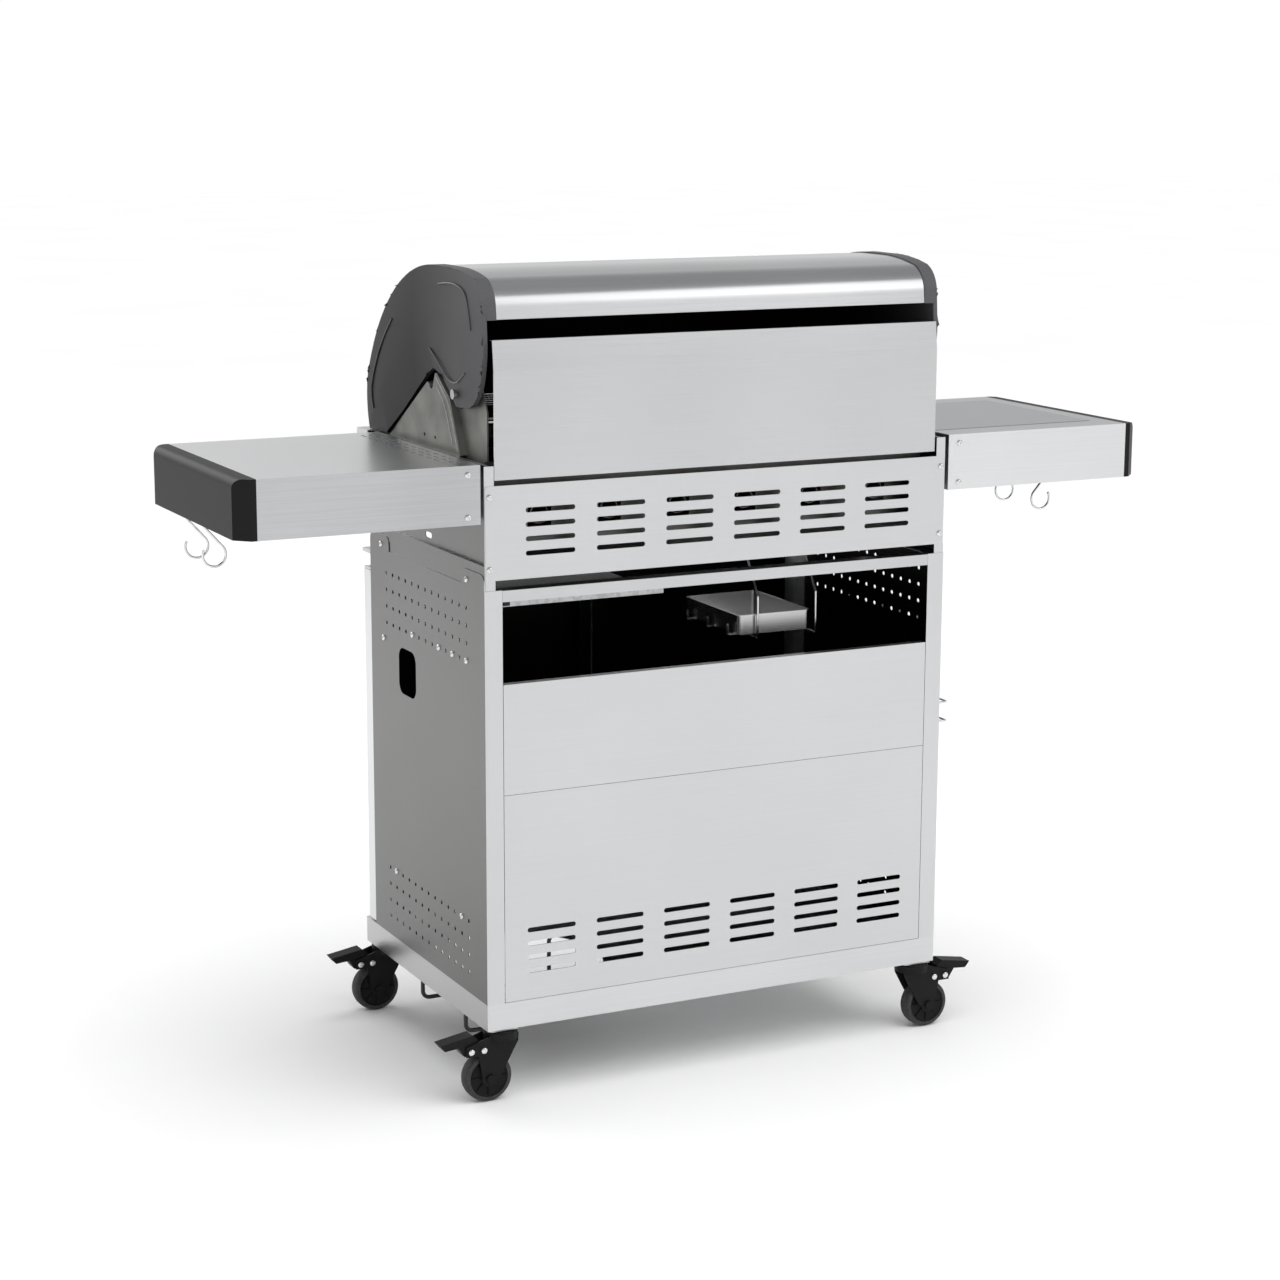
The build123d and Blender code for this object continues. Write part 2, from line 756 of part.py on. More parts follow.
trough_half = end_inner - 0.5
trough_sheet = 1.5
outlet_width = 520.0
outlet_depth = 200.0
ledge_z = head_top - 34
tamer_ledge_z = ledge_z - 29
pan_wire_x = (-133, -240)
with BuildPart() as firebox_body:
    centre = (0, cabinet_y)
    with BuildSketch(Plane.XY.offset(hopper_top)):
        with Locations(centre):
            Rectangle(2 * trough_half, firebox_depth)
    with BuildSketch(Plane.XY.offset(trough_bottom)):
        with Locations(centre):
            Rectangle(outlet_width, outlet_depth)
    loft()
    block((-trough_half, trough_half), (firebox_front, firebox_back), (hopper_top, head_top - 5))
    with BuildSketch(Plane.XY.offset(hopper_top)):
        with Locations(centre):
            Rectangle(2 * (trough_half - trough_sheet), firebox_depth - 2 * trough_sheet)
    with BuildSketch(Plane.XY.offset(trough_bottom)):
        with Locations(centre):
            Rectangle(outlet_width - 2 * trough_sheet, outlet_depth - 2 * trough_sheet)
    loft(mode=Mode.SUBTRACT)
    block(
        (trough_sheet - trough_half, trough_half - trough_sheet),
        (firebox_front + trough_sheet, firebox_back - trough_sheet),
        (hopper_top, head_top),
        mode=Mode.SUBTRACT,
    )
    for wall, inward in ((firebox_front, 1), (firebox_back, -1)):
        for level in (ledge_z, tamer_ledge_z):
            block((-trough_half, trough_half), (wall, wall + inward * 12), (level - trough_sheet, level))
    for x in pan_wire_x:
        block(
            (x - 5, x + 5),
            (cabinet_y - outlet_depth / 2, cabinet_y + outlet_depth / 2),
            (trough_bottom, trough_bottom + 2),
        )
    for x in burner_x:
        with BuildSketch(Plane(origin=(x, firebox_back, body_top + 96), x_dir=(-1, 0, 0), z_dir=(0, 1, 0))):
            RectangleRounded(38, 52, 6)
        extrude(amount=-2 * trough_sheet, mode=Mode.SUBTRACT)
        with BuildSketch(Plane(origin=(x, firebox_front, body_top + 104), x_dir=(1, 0, 0), z_dir=(0, -1, 0))):
            Circle(burner_diameter / 2 + seam)
        extrude(amount=-2 * trough_sheet, mode=Mode.SUBTRACT)
firebox_body.part.label = "firebox_body"
export_step(firebox_body.part, "parts/firebox_body.step")

# Sheet that rises behind the lid, with its top bent forward
deflector_half = skin_half + 13.0
deflector_foot = firebox_back + seam
deflector_bottom = head_top - 22
deflector_bend = head_top + 139
deflector_top = head_top + 183.5
deflector_face = y_back - 4.0
with BuildPart() as rear_heat_deflector:
    with BuildSketch(side_plane(-deflector_half)):
        with BuildLine():
            Polyline(
                (deflector_foot, deflector_bottom + 24),
                (deflector_foot, deflector_bottom),
                (deflector_face, deflector_bottom),
                (deflector_face, deflector_bend),
                (deflector_face - 5, deflector_top),
                (deflector_face - 14, deflector_top),
                (deflector_face - 14, deflector_top - sheet),
                (deflector_face - 5 - sheet, deflector_top - sheet),
                (deflector_face - sheet, deflector_bend),
                (deflector_face - sheet, deflector_bottom + sheet),
                (deflector_foot + sheet, deflector_bottom + sheet),
                (deflector_foot + sheet, deflector_bottom + 24),
                close=True,
            )
        make_face()
    extrude(amount=2 * deflector_half)
rear_heat_deflector.part.label = "rear_heat_deflector"
export_step(rear_heat_deflector.part, "parts/rear_heat_deflector.step")

# Control panel: a folded hood in front of the firebox, leaning back
hood_half = half_width + 1.5
panel_nose = y_front - panel_overhang
panel_top_y = panel_nose + (head_top - panel_bottom) * math.tan(tilt)
panel_normal = (0, -math.cos(tilt), math.sin(tilt))
knob_y = panel_nose + knob_setback
knob_planes = [faced(x, knob_y, knob_height, panel_normal) for x in burner_x]
panel_sheet = 1.5
pipe_diameter = 18.0
pipe_y = knob_y + 34.0
pipe_z = knob_height - 9.0
inlet_drop = 66.0
inlet_radius = 9.5
inlet_length = 14.0

with BuildPart() as control_panel:
    with BuildSketch(side_plane(-hood_half)):
        with BuildLine():
            Polyline(
                (side_front - seam, head_top),
                (panel_top_y, head_top),
                (panel_nose, panel_bottom),
                (side_front - seam, panel_bottom - 8),
                close=True,
            )
        make_face()
    extrude(amount=2 * hood_half)
    with BuildSketch(side_plane(-hood_half + panel_sheet)):
        with BuildLine():
            Polyline(
                (side_front + 10, head_top - panel_sheet),
                (panel_top_y + panel_sheet, head_top - panel_sheet),
                (panel_nose + 2 * panel_sheet, panel_bottom + panel_sheet),
                (side_front + 10, panel_bottom - 6),
                close=True,
            )
        make_face()
    extrude(amount=2 * (hood_half - panel_sheet), mode=Mode.SUBTRACT)
    with BuildSketch(*knob_planes):
        Circle(bezel_diameter / 2)
    extrude(amount=bezel_thickness)
    with BuildSketch(*[plane.offset(bezel_thickness) for plane in knob_planes]):
        Circle(7)
    extrude(amount=-3 * panel_sheet - bezel_thickness, mode=Mode.SUBTRACT)
    with Locations((inlet_x, pipe_y, panel_bottom)):
        Cylinder(inlet_radius + 7, 40, mode=Mode.SUBTRACT)
control_panel.part.label = "control_panel"
export_step(control_panel.part, "parts/control_panel.step")

# Gas train: pipe, six valves with their stems, and an inlet that drops through the hood
shelf_knob_x = -(shelf_inner + shelf_length / 2)
shelf_knob_z = shelf_bottom + shelf_height / 2

with BuildPart() as gas_manifold:
    with BuildSketch(side_plane(-half_width + 45, pipe_y, pipe_z)):
        Circle(pipe_diameter / 2)
    extrude(amount=cabinet_width - 90)
    with BuildSketch(*[plane.offset(-10) for plane in knob_planes]):
        Circle(11)
    extrude(amount=-24)
    with BuildSketch(*[plane.offset(-11) for plane in knob_planes]):
        Circle(5)
    extrude(amount=11 + bezel_thickness)
    with BuildSketch(*knob_planes):
        Circle(stem_diameter / 2)
    extrude(amount=knob_stand - 8)
    with BuildSketch(faced(inlet_x, pipe_y, pipe_z, (0, 0, -1))):
        Circle(8)
    extrude(amount=inlet_drop)
    with BuildSketch(faced(inlet_x, pipe_y, pipe_z - inlet_drop, (0, 0, -1))):
        RegularPolygon(13, 6)
    extrude(amount=12)
    with BuildSketch(faced(inlet_x, pipe_y, pipe_z - inlet_drop - 12, (0, 0, -1))):
        Circle(inlet_radius)
    extrude(amount=inlet_length)
gas_manifold.part.label = "gas_manifold"
export_step(gas_manifold.part, "parts/gas_manifold.step")

burner_nose = 12.0
with BuildPart() as burner:
    with BuildSketch(Plane.XZ.offset(burner_nose - firebox_front)):
        Circle(burner_diameter / 2)
        Circle(burner_diameter / 2 - 1.5, mode=Mode.SUBTRACT)
    extrude(amount=-(burner_nose + firebox_depth - trough_sheet - seam))
    with Locations((0, cabinet_y, burner_diameter / 2)):
        with GridLocations(1, 22, 1, 16):
            Box(burner_diameter * 0.8, 2.5, 6, mode=Mode.SUBTRACT)

burner_z = body_top + 104
with BuildPart() as burners:
    with Locations(*[(x, 0, burner_z) for x in burner_x]):
        add(burner.part)
burners.part.label = "burners"
export_step(burners.part, "parts/burners.step")

# Bent sheet tents over the burners, and three cast grates above them
tamer_half = 42.0
tamer_rise = 22.0
with BuildPart() as flame_tamers:
    for x in burner_x:
        tamer_end = Plane(origin=(x, firebox_back - 3, tamer_ledge_z), x_dir=(-1, 0, 0), z_dir=(0, 1, 0))
        with BuildSketch(tamer_end):
            with BuildLine():
                Polyline(
                    (-tamer_half, 0),
                    (0, tamer_rise),
                    (tamer_half, 0),
                    (tamer_half - 3, 0),
                    (0, tamer_rise - 1.6),
                    (3 - tamer_half, 0),
                    close=True,
                )
            make_face()
        extrude(amount=-(firebox_depth - 6))
flame_tamers.part.label = "flame_tamers"
export_step(flame_tamers.part, "parts/flame_tamers.step")

grate_count = 3
grate_width = 2 * (trough_half - trough_sheet) / grate_count - 1.5
grate_depth = firebox_depth - 2 * trough_sheet - 2
grate_bar = 7.0
grate_height = 11.0
grate_bars = 12
with BuildPart() as cooking_grates:
    for index in range(grate_count):
        grate_x = (index - (grate_count - 1) / 2) * (grate_width + 1.5)
        with BuildSketch(Plane.XY.offset(ledge_z)):
            with Locations((grate_x, cabinet_y)):
                with GridLocations((grate_width - grate_bar) / (grate_bars - 1), 1, grate_bars, 1):
                    Rectangle(grate_bar, grate_depth)
                with GridLocations(1, (grate_depth - grate_bar - 4) / 3, 1, 4):
                    Rectangle(grate_width, grate_bar + 4)
        extrude(amount=grate_height)
cooking_grates.part.label = "cooking_grates"
export_step(cooking_grates.part, "parts/cooking_grates.step")

rack_wire = 4.0
rack_rail = 6.0
rack_z = hinge_z - 20
rack_back = hinge_y - 6
rack_depth = 132.0
rack_wires = 6
with BuildPart() as warming_rack:
    for index in range(rack_wires):
        rail_size = rack_rail if index in (0, rack_wires - 1) else rack_wire
        with BuildSketch(side_plane(-end_inner, rack_back - index * rack_depth / (rack_wires - 1), rack_z)):
            Circle(rail_size / 2)
        extrude(amount=2 * end_inner)
    with BuildSketch(Plane(origin=(0, rack_back, rack_z - 1.5), x_dir=(-1, 0, 0), z_dir=(0, 1, 0))):
        with GridLocations(2 * (end_inner - 12) / 12, 1, 13, 1):
            Circle(rack_wire / 2)
    extrude(amount=-rack_depth)
warming_rack.part.label = "warming_rack"
export_step(warming_rack.part, "parts/warming_rack.step")

# Grease pan on a wire hanger under the firebox outlet
pan_right = -100.0
pan_width = 135.0
pan_length = 190.0
pan_rim = body_top - 102
pan_depth = 32.0
pan_back = cabinet_y + 122
pan_front = pan_back - pan_length
pan_wire = 4.0
wire_back = pan_back + pan_wire
wire_front = pan_front - pan_wire
cross_z = pan_rim - pan_depth - seam - pan_wire / 2
wire_low = cross_z - pan_wire + 0.5
wire_bend = pan_rim + 30
wire_top = trough_bottom - pan_wire / 2
lip_rise = 17.0
with BuildPart() as drip_pan_hanger:
    for x in pan_wire_x:
        with BuildLine() as hanger_wire:
            FilletPolyline(
                (x, wire_back - 90, wire_top),
                (x, wire_back - 50, wire_top),
                (x, wire_back, wire_bend),
                (x, wire_back, wire_low),
                (x, wire_front, wire_low),
                (x, wire_front, wire_low + lip_rise),
                radius=5,
            )
        rod(hanger_wire.line, pan_wire)
    for y in (pan_front + 25, (pan_front + pan_back) / 2, pan_back - 25):
        with BuildLine() as cross_wire:
            FilletPolyline(
                (pan_wire_x[1], y, cross_z),
                (pan_right + 6, y, cross_z),
                (pan_right + 6, y, cross_z + lip_rise),
                radius=4,
            )
        rod(cross_wire.line, pan_wire)
drip_pan_hanger.part.label = "drip_pan_hanger"
export_step(drip_pan_hanger.part, "parts/drip_pan_hanger.step")

with BuildPart() as drip_pan:
    pan_middle = (pan_right - pan_width / 2, (pan_back + pan_front) / 2)
    with BuildSketch(Plane.XY.offset(pan_rim - pan_depth)):
        with Locations(pan_middle):
            RectangleRounded(pan_width - 4, pan_length - 4, 8)
    extrude(amount=pan_depth)
    with BuildSketch(Plane.XY.offset(pan_rim - 1)):
        with Locations(pan_middle):
            RectangleRounded(pan_width, pan_length, 10)
    extrude(amount=1)
    with BuildSketch(Plane.XY.offset(pan_rim - pan_depth + 1)):
        with Locations(pan_middle):
            RectangleRounded(pan_width - 6, pan_length - 6, 7)
    extrude(amount=pan_depth, mode=Mode.SUBTRACT)
drip_pan.part.label = "drip_pan"
export_step(drip_pan.part, "parts/drip_pan.step")

# ==== Lid ====
# Sections are drawn from the hinge axis: x towards the back, y up
lid_front = -374.5
lid_bottom = -93.4
lid_crown = 186.6
lid_arc_back = -84.5
lid_arc_radius = 310.8
skin_inset = 1.5
rim_depth = 8.0
lip_width = 16.0
skin_low = 116.8

with BuildSketch() as lid_shell:
    with BuildLine():
        ThreePointArc((-367.5, lid_bottom), (-377, -50), (lid_front, -12.4))
        RadiusArc((lid_front, -12.4), (lid_arc_back, lid_crown), lid_arc_radius)
        Line((lid_arc_back, lid_crown), (-24.5, lid_crown))
        ThreePointArc((-24.5, lid_crown), (18, 184), (56.5, 177.6))
        ThreePointArc((56.5, 177.6), (83.5, 162), (94.5, 134))
        Polyline((94.5, 134), (96.5, skin_low), (0, 60), (-340, lid_bottom), (-367.5, lid_bottom))
    make_face()

with BuildSketch() as lid_inside:
    with BuildLine():
        Polyline(
            (130, skin_low),
            (60, skin_low),
            (0, 90),
            (-330, -60),
            (-352, -85),
            (-352, -120),
            (130, -120),
            close=True,
        )
    make_face()

with BuildSketch() as lid_cap_face:
    with BuildLine():
        ThreePointArc((-367.5, lid_bottom), (-377, -50), (lid_front, -12.4))
        RadiusArc((lid_front, -12.4), (lid_arc_back, lid_crown), lid_arc_radius)
        Line((lid_arc_back, lid_crown), (-24.5, lid_crown))
        ThreePointArc((-24.5, lid_crown), (18, 184), (56.5, 177.6))
        ThreePointArc((56.5, 177.6), (83.5, 162), (94.5, 134))
        Line((94.5, 134), (98.5, 79.6))
        ThreePointArc((98.5, 79.6), (94.5, 46), (84.5, 17.6))
        ThreePointArc((84.5, 17.6), (58, -10.4), (23, -19.4))
        Polyline(
            (23, -19.4),
            (-6.5, -19.4),
            (-29.5, 0.6),
            (-65.5, 24),
            (-95.5, 30),
            (-120.5, 17.6),
            (-285, -91.5),
            (-305, lid_bottom),
            (-367.5, lid_bottom),
        )
    make_face()

with BuildSketch() as rim_outer:
    add(lid_shell.sketch)
    offset(amount=-rim_depth, kind=Kind.INTERSECTION)
with BuildSketch() as skin_outer:
    add(lid_shell.sketch)
    offset(amount=-skin_inset, kind=Kind.INTERSECTION)
with BuildSketch() as skin_inner:
    add(lid_shell.sketch)
    offset(amount=-skin_inset - lid_sheet, kind=Kind.INTERSECTION)
with BuildSketch() as lip_inner:
    add(lid_shell.sketch)
    offset(amount=-skin_inset - lid_sheet - 3, kind=Kind.INTERSECTION)

thermometer_diameter = 76.0
thermometer_stem = 8.0
gauge_angle = math.radians(152)
gauge_radius = lid_arc_radius - skin_inset
gauge_normal = (0, math.cos(gauge_angle), math.sin(gauge_angle))
gauge_point = (
    0,
    hinge_y + lid_arc_back + gauge_radius * math.cos(gauge_angle),
    hinge_z + lid_crown - lid_arc_radius + gauge_radius * math.sin(gauge_angle),
)
gauge_plane = Plane(origin=gauge_point, x_dir=(1, 0, 0), z_dir=gauge_normal)

with BuildPart() as lid_skin:
    with BuildSketch(side_plane(-skin_half, hinge_y, hinge_z)):
        add(skin_outer.sketch)
        add(skin_inner.sketch, mode=Mode.SUBTRACT)
        add(lid_inside.sketch, mode=Mode.SUBTRACT)
    extrude(amount=2 * skin_half)
    with BuildSketch(gauge_plane):
        Circle(thermometer_stem / 2 + 0.3)
    extrude(amount=10, both=True, mode=Mode.SUBTRACT)
lid_skin.part.label = "lid_skin"
export_step(lid_skin.part, "parts/lid_skin.step")

with BuildPart() as lid_end_caps:
    for side in (1, -1):
        with BuildSketch(side_plane(side * cap_inner, hinge_y, hinge_z)):
            add(lid_cap_face.sketch)
            Circle(hinge_bolt_diameter / 2 + running_gap, mode=Mode.SUBTRACT)
        extrude(amount=side * lid_cap_thickness)
        with BuildSketch(side_plane(side * skin_half, hinge_y, hinge_z)):
            add(lid_shell.sketch)
            add(rim_outer.sketch, mode=Mode.SUBTRACT)
            add(lid_inside.sketch, mode=Mode.SUBTRACT)
        extrude(amount=side * lid_rim_width)
        with BuildSketch(side_plane(side * (skin_half - lip_width), hinge_y, hinge_z)):
            add(skin_inner.sketch)
            add(lip_inner.sketch, mode=Mode.SUBTRACT)
            add(lid_inside.sketch, mode=Mode.SUBTRACT)
        extrude(amount=side * lip_width)
lid_end_caps.part.label = "lid_end_caps"
export_step(lid_end_caps.part, "parts/lid_end_caps.step")

lid_handle_bar = 22.0
lid_handle_length = 600.0
lid_handle_stand = 44.0
handle_face = hinge_y - 375.8
handle_level = hinge_z - 22
with BuildPart() as lid_handle:
    with BuildSketch(side_plane(-lid_handle_length / 2, handle_face - lid_handle_stand, handle_level)):
        Circle(lid_handle_bar / 2)
    extrude(amount=lid_handle_length)
    fillet(edges().filter_by(GeomType.CIRCLE), 4)
    lid_posts = [
        faced(x, handle_face, handle_level, (0, -1, 0))
        for x in (45 - lid_handle_length / 2, lid_handle_length / 2 - 45)
    ]
    with BuildSketch(*lid_posts):
        Circle(9)
    extrude(amount=lid_handle_stand)
lid_handle.part.label = "lid_handle"
export_step(lid_handle.part, "parts/lid_handle.step")

with BuildPart() as lid_thermometer:
    with BuildSketch(gauge_plane.offset(seam)):
        Circle(thermometer_diameter / 2 - 4)
    extrude(amount=12)
    with BuildSketch(gauge_plane.offset(6)):
        Circle(thermometer_diameter / 2)
    extrude(amount=5)
    with BuildSketch(gauge_plane.offset(1)):
        Circle(thermometer_stem / 2)
    extrude(amount=-60)
lid_thermometer.part.label = "lid_thermometer"
export_step(lid_thermometer.part, "parts/lid_thermometer.step")

with BuildPart() as lid_hinge_bolts:
    for side in (1, -1):
        with BuildSketch(side_plane(side * end_inner, hinge_y, hinge_z)):
            Circle(hinge_bolt_diameter / 2)
        extrude(amount=side * (lid_half - end_inner + seam))
        with BuildSketch(side_plane(side * end_outer, hinge_y, hinge_z)):
            Circle(hinge_bolt_diameter / 2 + 3)
        extrude(amount=side * (cap_inner - end_outer - seam))
        with BuildSketch(side_plane(side * (lid_half + seam), hinge_y, hinge_z)):
            Circle(hinge_bolt_diameter / 2 + 3.5)
        extrude(amount=side * 4)
lid_hinge_bolts.part.label = "lid_hinge_bolts"
export_step(lid_hinge_bolts.part, "parts/lid_hinge_bolts.step")

# ==== Knobs ====
knob_stations = [(f"knob_{i + 1}", plane) for i, plane in enumerate(knob_planes)]
shelf_knob_plane = faced(shelf_knob_x, shelf_front, shelf_knob_z, (0, -1, 0))
knob_stations.append(("side_burner_knob", shelf_knob_plane))

for knob_name, station in knob_stations:
    with BuildPart() as knob:
        with BuildSketch(station.offset(bezel_thickness + seam)):
            Circle(knob_diameter / 2)
        extrude(amount=knob_length - 14 - seam)
        with BuildSketch(station.offset(bezel_thickness + knob_length - 14)):
            SlotOverall(knob_diameter - 2 * ridge_inset, 15)
        extrude(amount=14)
        with BuildSketch(station):
            Circle(stem_diameter / 2 + running_gap)
        extrude(amount=knob_stand - 7, mode=Mode.SUBTRACT)
    knob.part.label = knob_name
    export_step(knob.part, f"parts/{knob_name}.step")

# ==== Side shelves ====
burner_well = 300.0
well_depth = 315.0
well_x = -(shelf_inner + 10 + burner_well / 2)
well_y = cabinet_y + 45.0
well_wall = 26.0
burner_lid_gap = 0.6
burner_lid_height = 14.0
lid_axis_y = well_y + well_depth / 2 - burner_lid_gap - 8
lid_axis_z = shelf_top - 8
lid_pin = 5.0
hook_wire = 4.0
hook_rod = 5.0
hook_x = shelf_outer - 21
hook_radius = 18.0
hook_rod_z = shelf_bottom + 4.2
hook_ys = {1: (cabinet_y - 98, cabinet_y - 12), -1: (cabinet_y - 62, cabinet_y + 48)}
cap_top_radius = 14.0


def shelf(side):
    """A folded shelf, open below, with blocks that bear on the head and a rod for hooks."""
    inner = side * shelf_inner
    outer = side * shelf_outer
    block((inner, outer), (shelf_front, y_back), (shelf_bottom, shelf_top))
    block(
        (inner + side * sheet, outer),
        (shelf_front + sheet, y_back - sheet),
        (shelf_bottom + sheet, shelf_top - sheet),
        mode=Mode.SUBTRACT,
    )
    block(
        (inner + side * 14, outer),
        (shelf_front + 14, y_back - 14),
        (shelf_bottom, shelf_bottom + sheet),
        mode=Mode.SUBTRACT,
    )
    for y in (shelf_front + 40, y_back - 60):
        block((side * jog_face, inner), (y, y + 30), (shelf_bottom + 12, shelf_top - 20))
    with Locations((side * hook_x, (shelf_front + y_back) / 2, hook_rod_z)):
        Cylinder(hook_rod / 2, shelf_depth - sheet, rotation=(90, 0, 0))
    drill(shelf_screws)


slot_rows = (14, 26, 38)
with BuildPart() as shelf_right:
    shelf(1)
    for row in slot_rows:
        with BuildSketch(Plane.XY.offset(shelf_top + 1)):
            with Locations((shelf_inner + row, cabinet_y + 45)):
                with GridLocations(1, 30, 1, 12):
                    SlotOverall(22, 3.5, rotation=90)
        extrude(amount=-2 * sheet - 1, mode=Mode.SUBTRACT)
shelf_right.part.label = "shelf_right"
export_step(shelf_right.part, "parts/shelf_right.step")

with BuildPart() as shelf_left:
    shelf(-1)
    with BuildSketch(Plane.XY.offset(shelf_top - well_wall)):
        with Locations((well_x, well_y)):
            Rectangle(burner_well + 2 * sheet, well_depth + 2 * sheet)
    extrude(amount=well_wall)
    with BuildSketch(Plane.XY.offset(shelf_top - well_wall)):
        with Locations((well_x, well_y)):
            Rectangle(burner_well, well_depth)
    extrude(amount=well_wall, mode=Mode.SUBTRACT)
    for end in (1, -1):
        with BuildSketch(side_plane(well_x + end * (burner_well / 2 + sheet / 2), lid_axis_y, lid_axis_z)):
            Circle(lid_pin / 2)
        extrude(amount=-end * (sheet / 2 + burner_lid_gap + 5))
    with BuildSketch(shelf_knob_plane):
        Circle(6)
    extrude(amount=-2 * sheet, mode=Mode.SUBTRACT)
    with BuildSketch(shelf_knob_plane):
        Circle(bezel_diameter / 2)
        Circle(6, mode=Mode.SUBTRACT)
    extrude(amount=bezel_thickness)
shelf_left.part.label = "shelf_left"
export_step(shelf_left.part, "parts/shelf_left.step")

with BuildPart() as shelf_end_caps:
    for side in (1, -1):
        start = side * shelf_outer
        end = side * (shelf_outer + shelf_cap)
        with BuildSketch(Plane.XY.offset(shelf_bottom)):
            with BuildLine():
                Polyline(
                    (start, shelf_front),
                    (end - side * shelf_cap_corner, shelf_front),
                    (end, shelf_front + shelf_cap_corner),
                    (end, y_back - shelf_cap_corner),
                    (end - side * shelf_cap_corner, y_back),
                    (start, y_back),
                    close=True,
                )
            make_face()
        extrude(amount=shelf_height)
    outer_edges = edges().filter_by(Axis.Y).group_by(Axis.Z)[-1]
    fillet([edge for edge in outer_edges if abs(edge.center().X) > shelf_outer + 1], cap_top_radius)
    for side in (1, -1):
        block(
            (side * shelf_outer, side * (shelf_outer + shelf_cap_corner / 2 - 3)),
            (shelf_front + 12, y_back - 12),
            (shelf_bottom + 3, shelf_top - cap_top_radius),
            mode=Mode.SUBTRACT,
        )
shelf_end_caps.part.label = "shelf_end_caps"
export_step(shelf_end_caps.part, "parts/shelf_end_caps.step")

lid_plan_x = burner_well - 2 * burner_lid_gap
lid_plan_y = well_depth - 2 * burner_lid_gap
with BuildPart() as side_burner_lid:
    with BuildSketch(Plane.XY.offset(shelf_top - burner_lid_height)):
        with Locations((well_x, well_y)):
            Rectangle(lid_plan_x, lid_plan_y)
    extrude(amount=burner_lid_height)
    fillet(edges().filter_by(Axis.X).group_by(Axis.Z)[-1].sort_by(Axis.Y)[-1], 8)
    with BuildSketch(Plane.XY.offset(shelf_top - burner_lid_height)):
        with Locations((well_x, well_y)):
            Rectangle(lid_plan_x - 2 * sheet, lid_plan_y - 18)
    extrude(amount=burner_lid_height - sheet, mode=Mode.SUBTRACT)
    for end in (1, -1):
        edge = well_x + end * lid_plan_x / 2
        block(
            (edge, edge - end * 8),
            (lid_axis_y - 7, lid_axis_y + 4),
            (shelf_top - burner_lid_height, shelf_top - 2),
        )
    with BuildSketch(side_plane(well_x - burner_well / 2, lid_axis_y, lid_axis_z)):
        Circle(lid_pin / 2 + running_gap)
    extrude(amount=burner_well, mode=Mode.SUBTRACT)
side_burner_lid.part.label = "side_burner_lid"
export_step(side_burner_lid.part, "parts/side_burner_lid.step")

bowl_rim = shelf_top - well_wall
bowl_depth = 46.0
with BuildPart() as side_burner:
    with BuildSketch(Plane.XY.offset(bowl_rim)):
        with Locations((well_x, well_y)):
            Rectangle(burner_well + 2 * sheet, well_depth + 2 * sheet)
    with BuildSketch(Plane.XY.offset(bowl_rim - bowl_depth)):
        with Locations((well_x, well_y)):
            Rectangle(burner_well - 60, well_depth - 60)
    loft()
    with BuildSketch(Plane.XY.offset(bowl_rim)):
        with Locations((well_x, well_y)):
            Rectangle(burner_well - 6, well_depth - 6)
    with BuildSketch(Plane.XY.offset(bowl_rim - bowl_depth + sheet)):
        with Locations((well_x, well_y)):
            Rectangle(burner_well - 64, well_depth - 64)
    loft(mode=Mode.SUBTRACT)
    with BuildSketch(Plane.XY.offset(bowl_rim - bowl_depth + sheet)):
        with Locations((well_x, well_y)):
            Circle(46)
    extrude(amount=18)
    with BuildSketch(Plane.XY.offset(bowl_rim - bowl_depth + sheet + 18)):
        with Locations((well_x, well_y)):
            Circle(40)
    extrude(amount=8)
    for turn in (0, 90):
        with BuildSketch(Plane.XY.offset(bowl_rim - 8)):
            with Locations(Location((well_x, well_y, 0), (0, 0, turn))):
                with GridLocations(1, 60, 1, 3):
                    Rectangle(burner_well - 14, 6)
        extrude(amount=8)
    with BuildSketch(shelf_knob_plane):
        Circle(5)
    extrude(amount=-62)
    with BuildSketch(shelf_knob_plane):
        Circle(stem_diameter / 2)
    extrude(amount=knob_stand - 8)
side_burner.part.label = "side_burner"
export_step(side_burner.part, "parts/side_burner.step")

# ==== Hooks ====
hook_drop = 3 * hook_radius
hook_tip = 30.0
crossing = math.degrees(math.acos(2 * hook_radius / hook_drop))
crown = hook_rod / 2 + seam + hook_wire / 2


def s_hooks(side):
    """Wire hooks shaped like an S that hang over the rod under a shelf."""
    for y in hook_ys[side]:
        hook_plane = Plane(origin=(side * hook_x, y, hook_rod_z), x_dir=(side, 0, 0), z_dir=(0, -side, 0))
        with BuildLine(hook_plane) as hook_path:
            upper_sweep = crossing - 270 - hook_tip
            upper = CenterArc((0, crown - hook_radius), hook_radius, 180 + hook_tip, upper_sweep)
            lower = CenterArc(
                (0, crown - hook_radius - hook_drop),
                hook_radius,
                90 + crossing,
                270 - crossing + hook_tip,
            )
            Line(upper @ 1, lower @ 0)
        rod(hook_path.line, hook_wire)


with BuildPart() as s_hooks_right:
    s_hooks(1)
s_hooks_right.part.label = "s_hooks_right"
export_step(s_hooks_right.part, "parts/s_hooks_right.step")

with BuildPart() as s_hooks_left:
    s_hooks(-1)
s_hooks_left.part.label = "s_hooks_left"
export_step(s_hooks_left.part, "parts/s_hooks_left.step")
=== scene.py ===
import math
import json

import bmesh
import bpy
from mathutils import Matrix, Vector


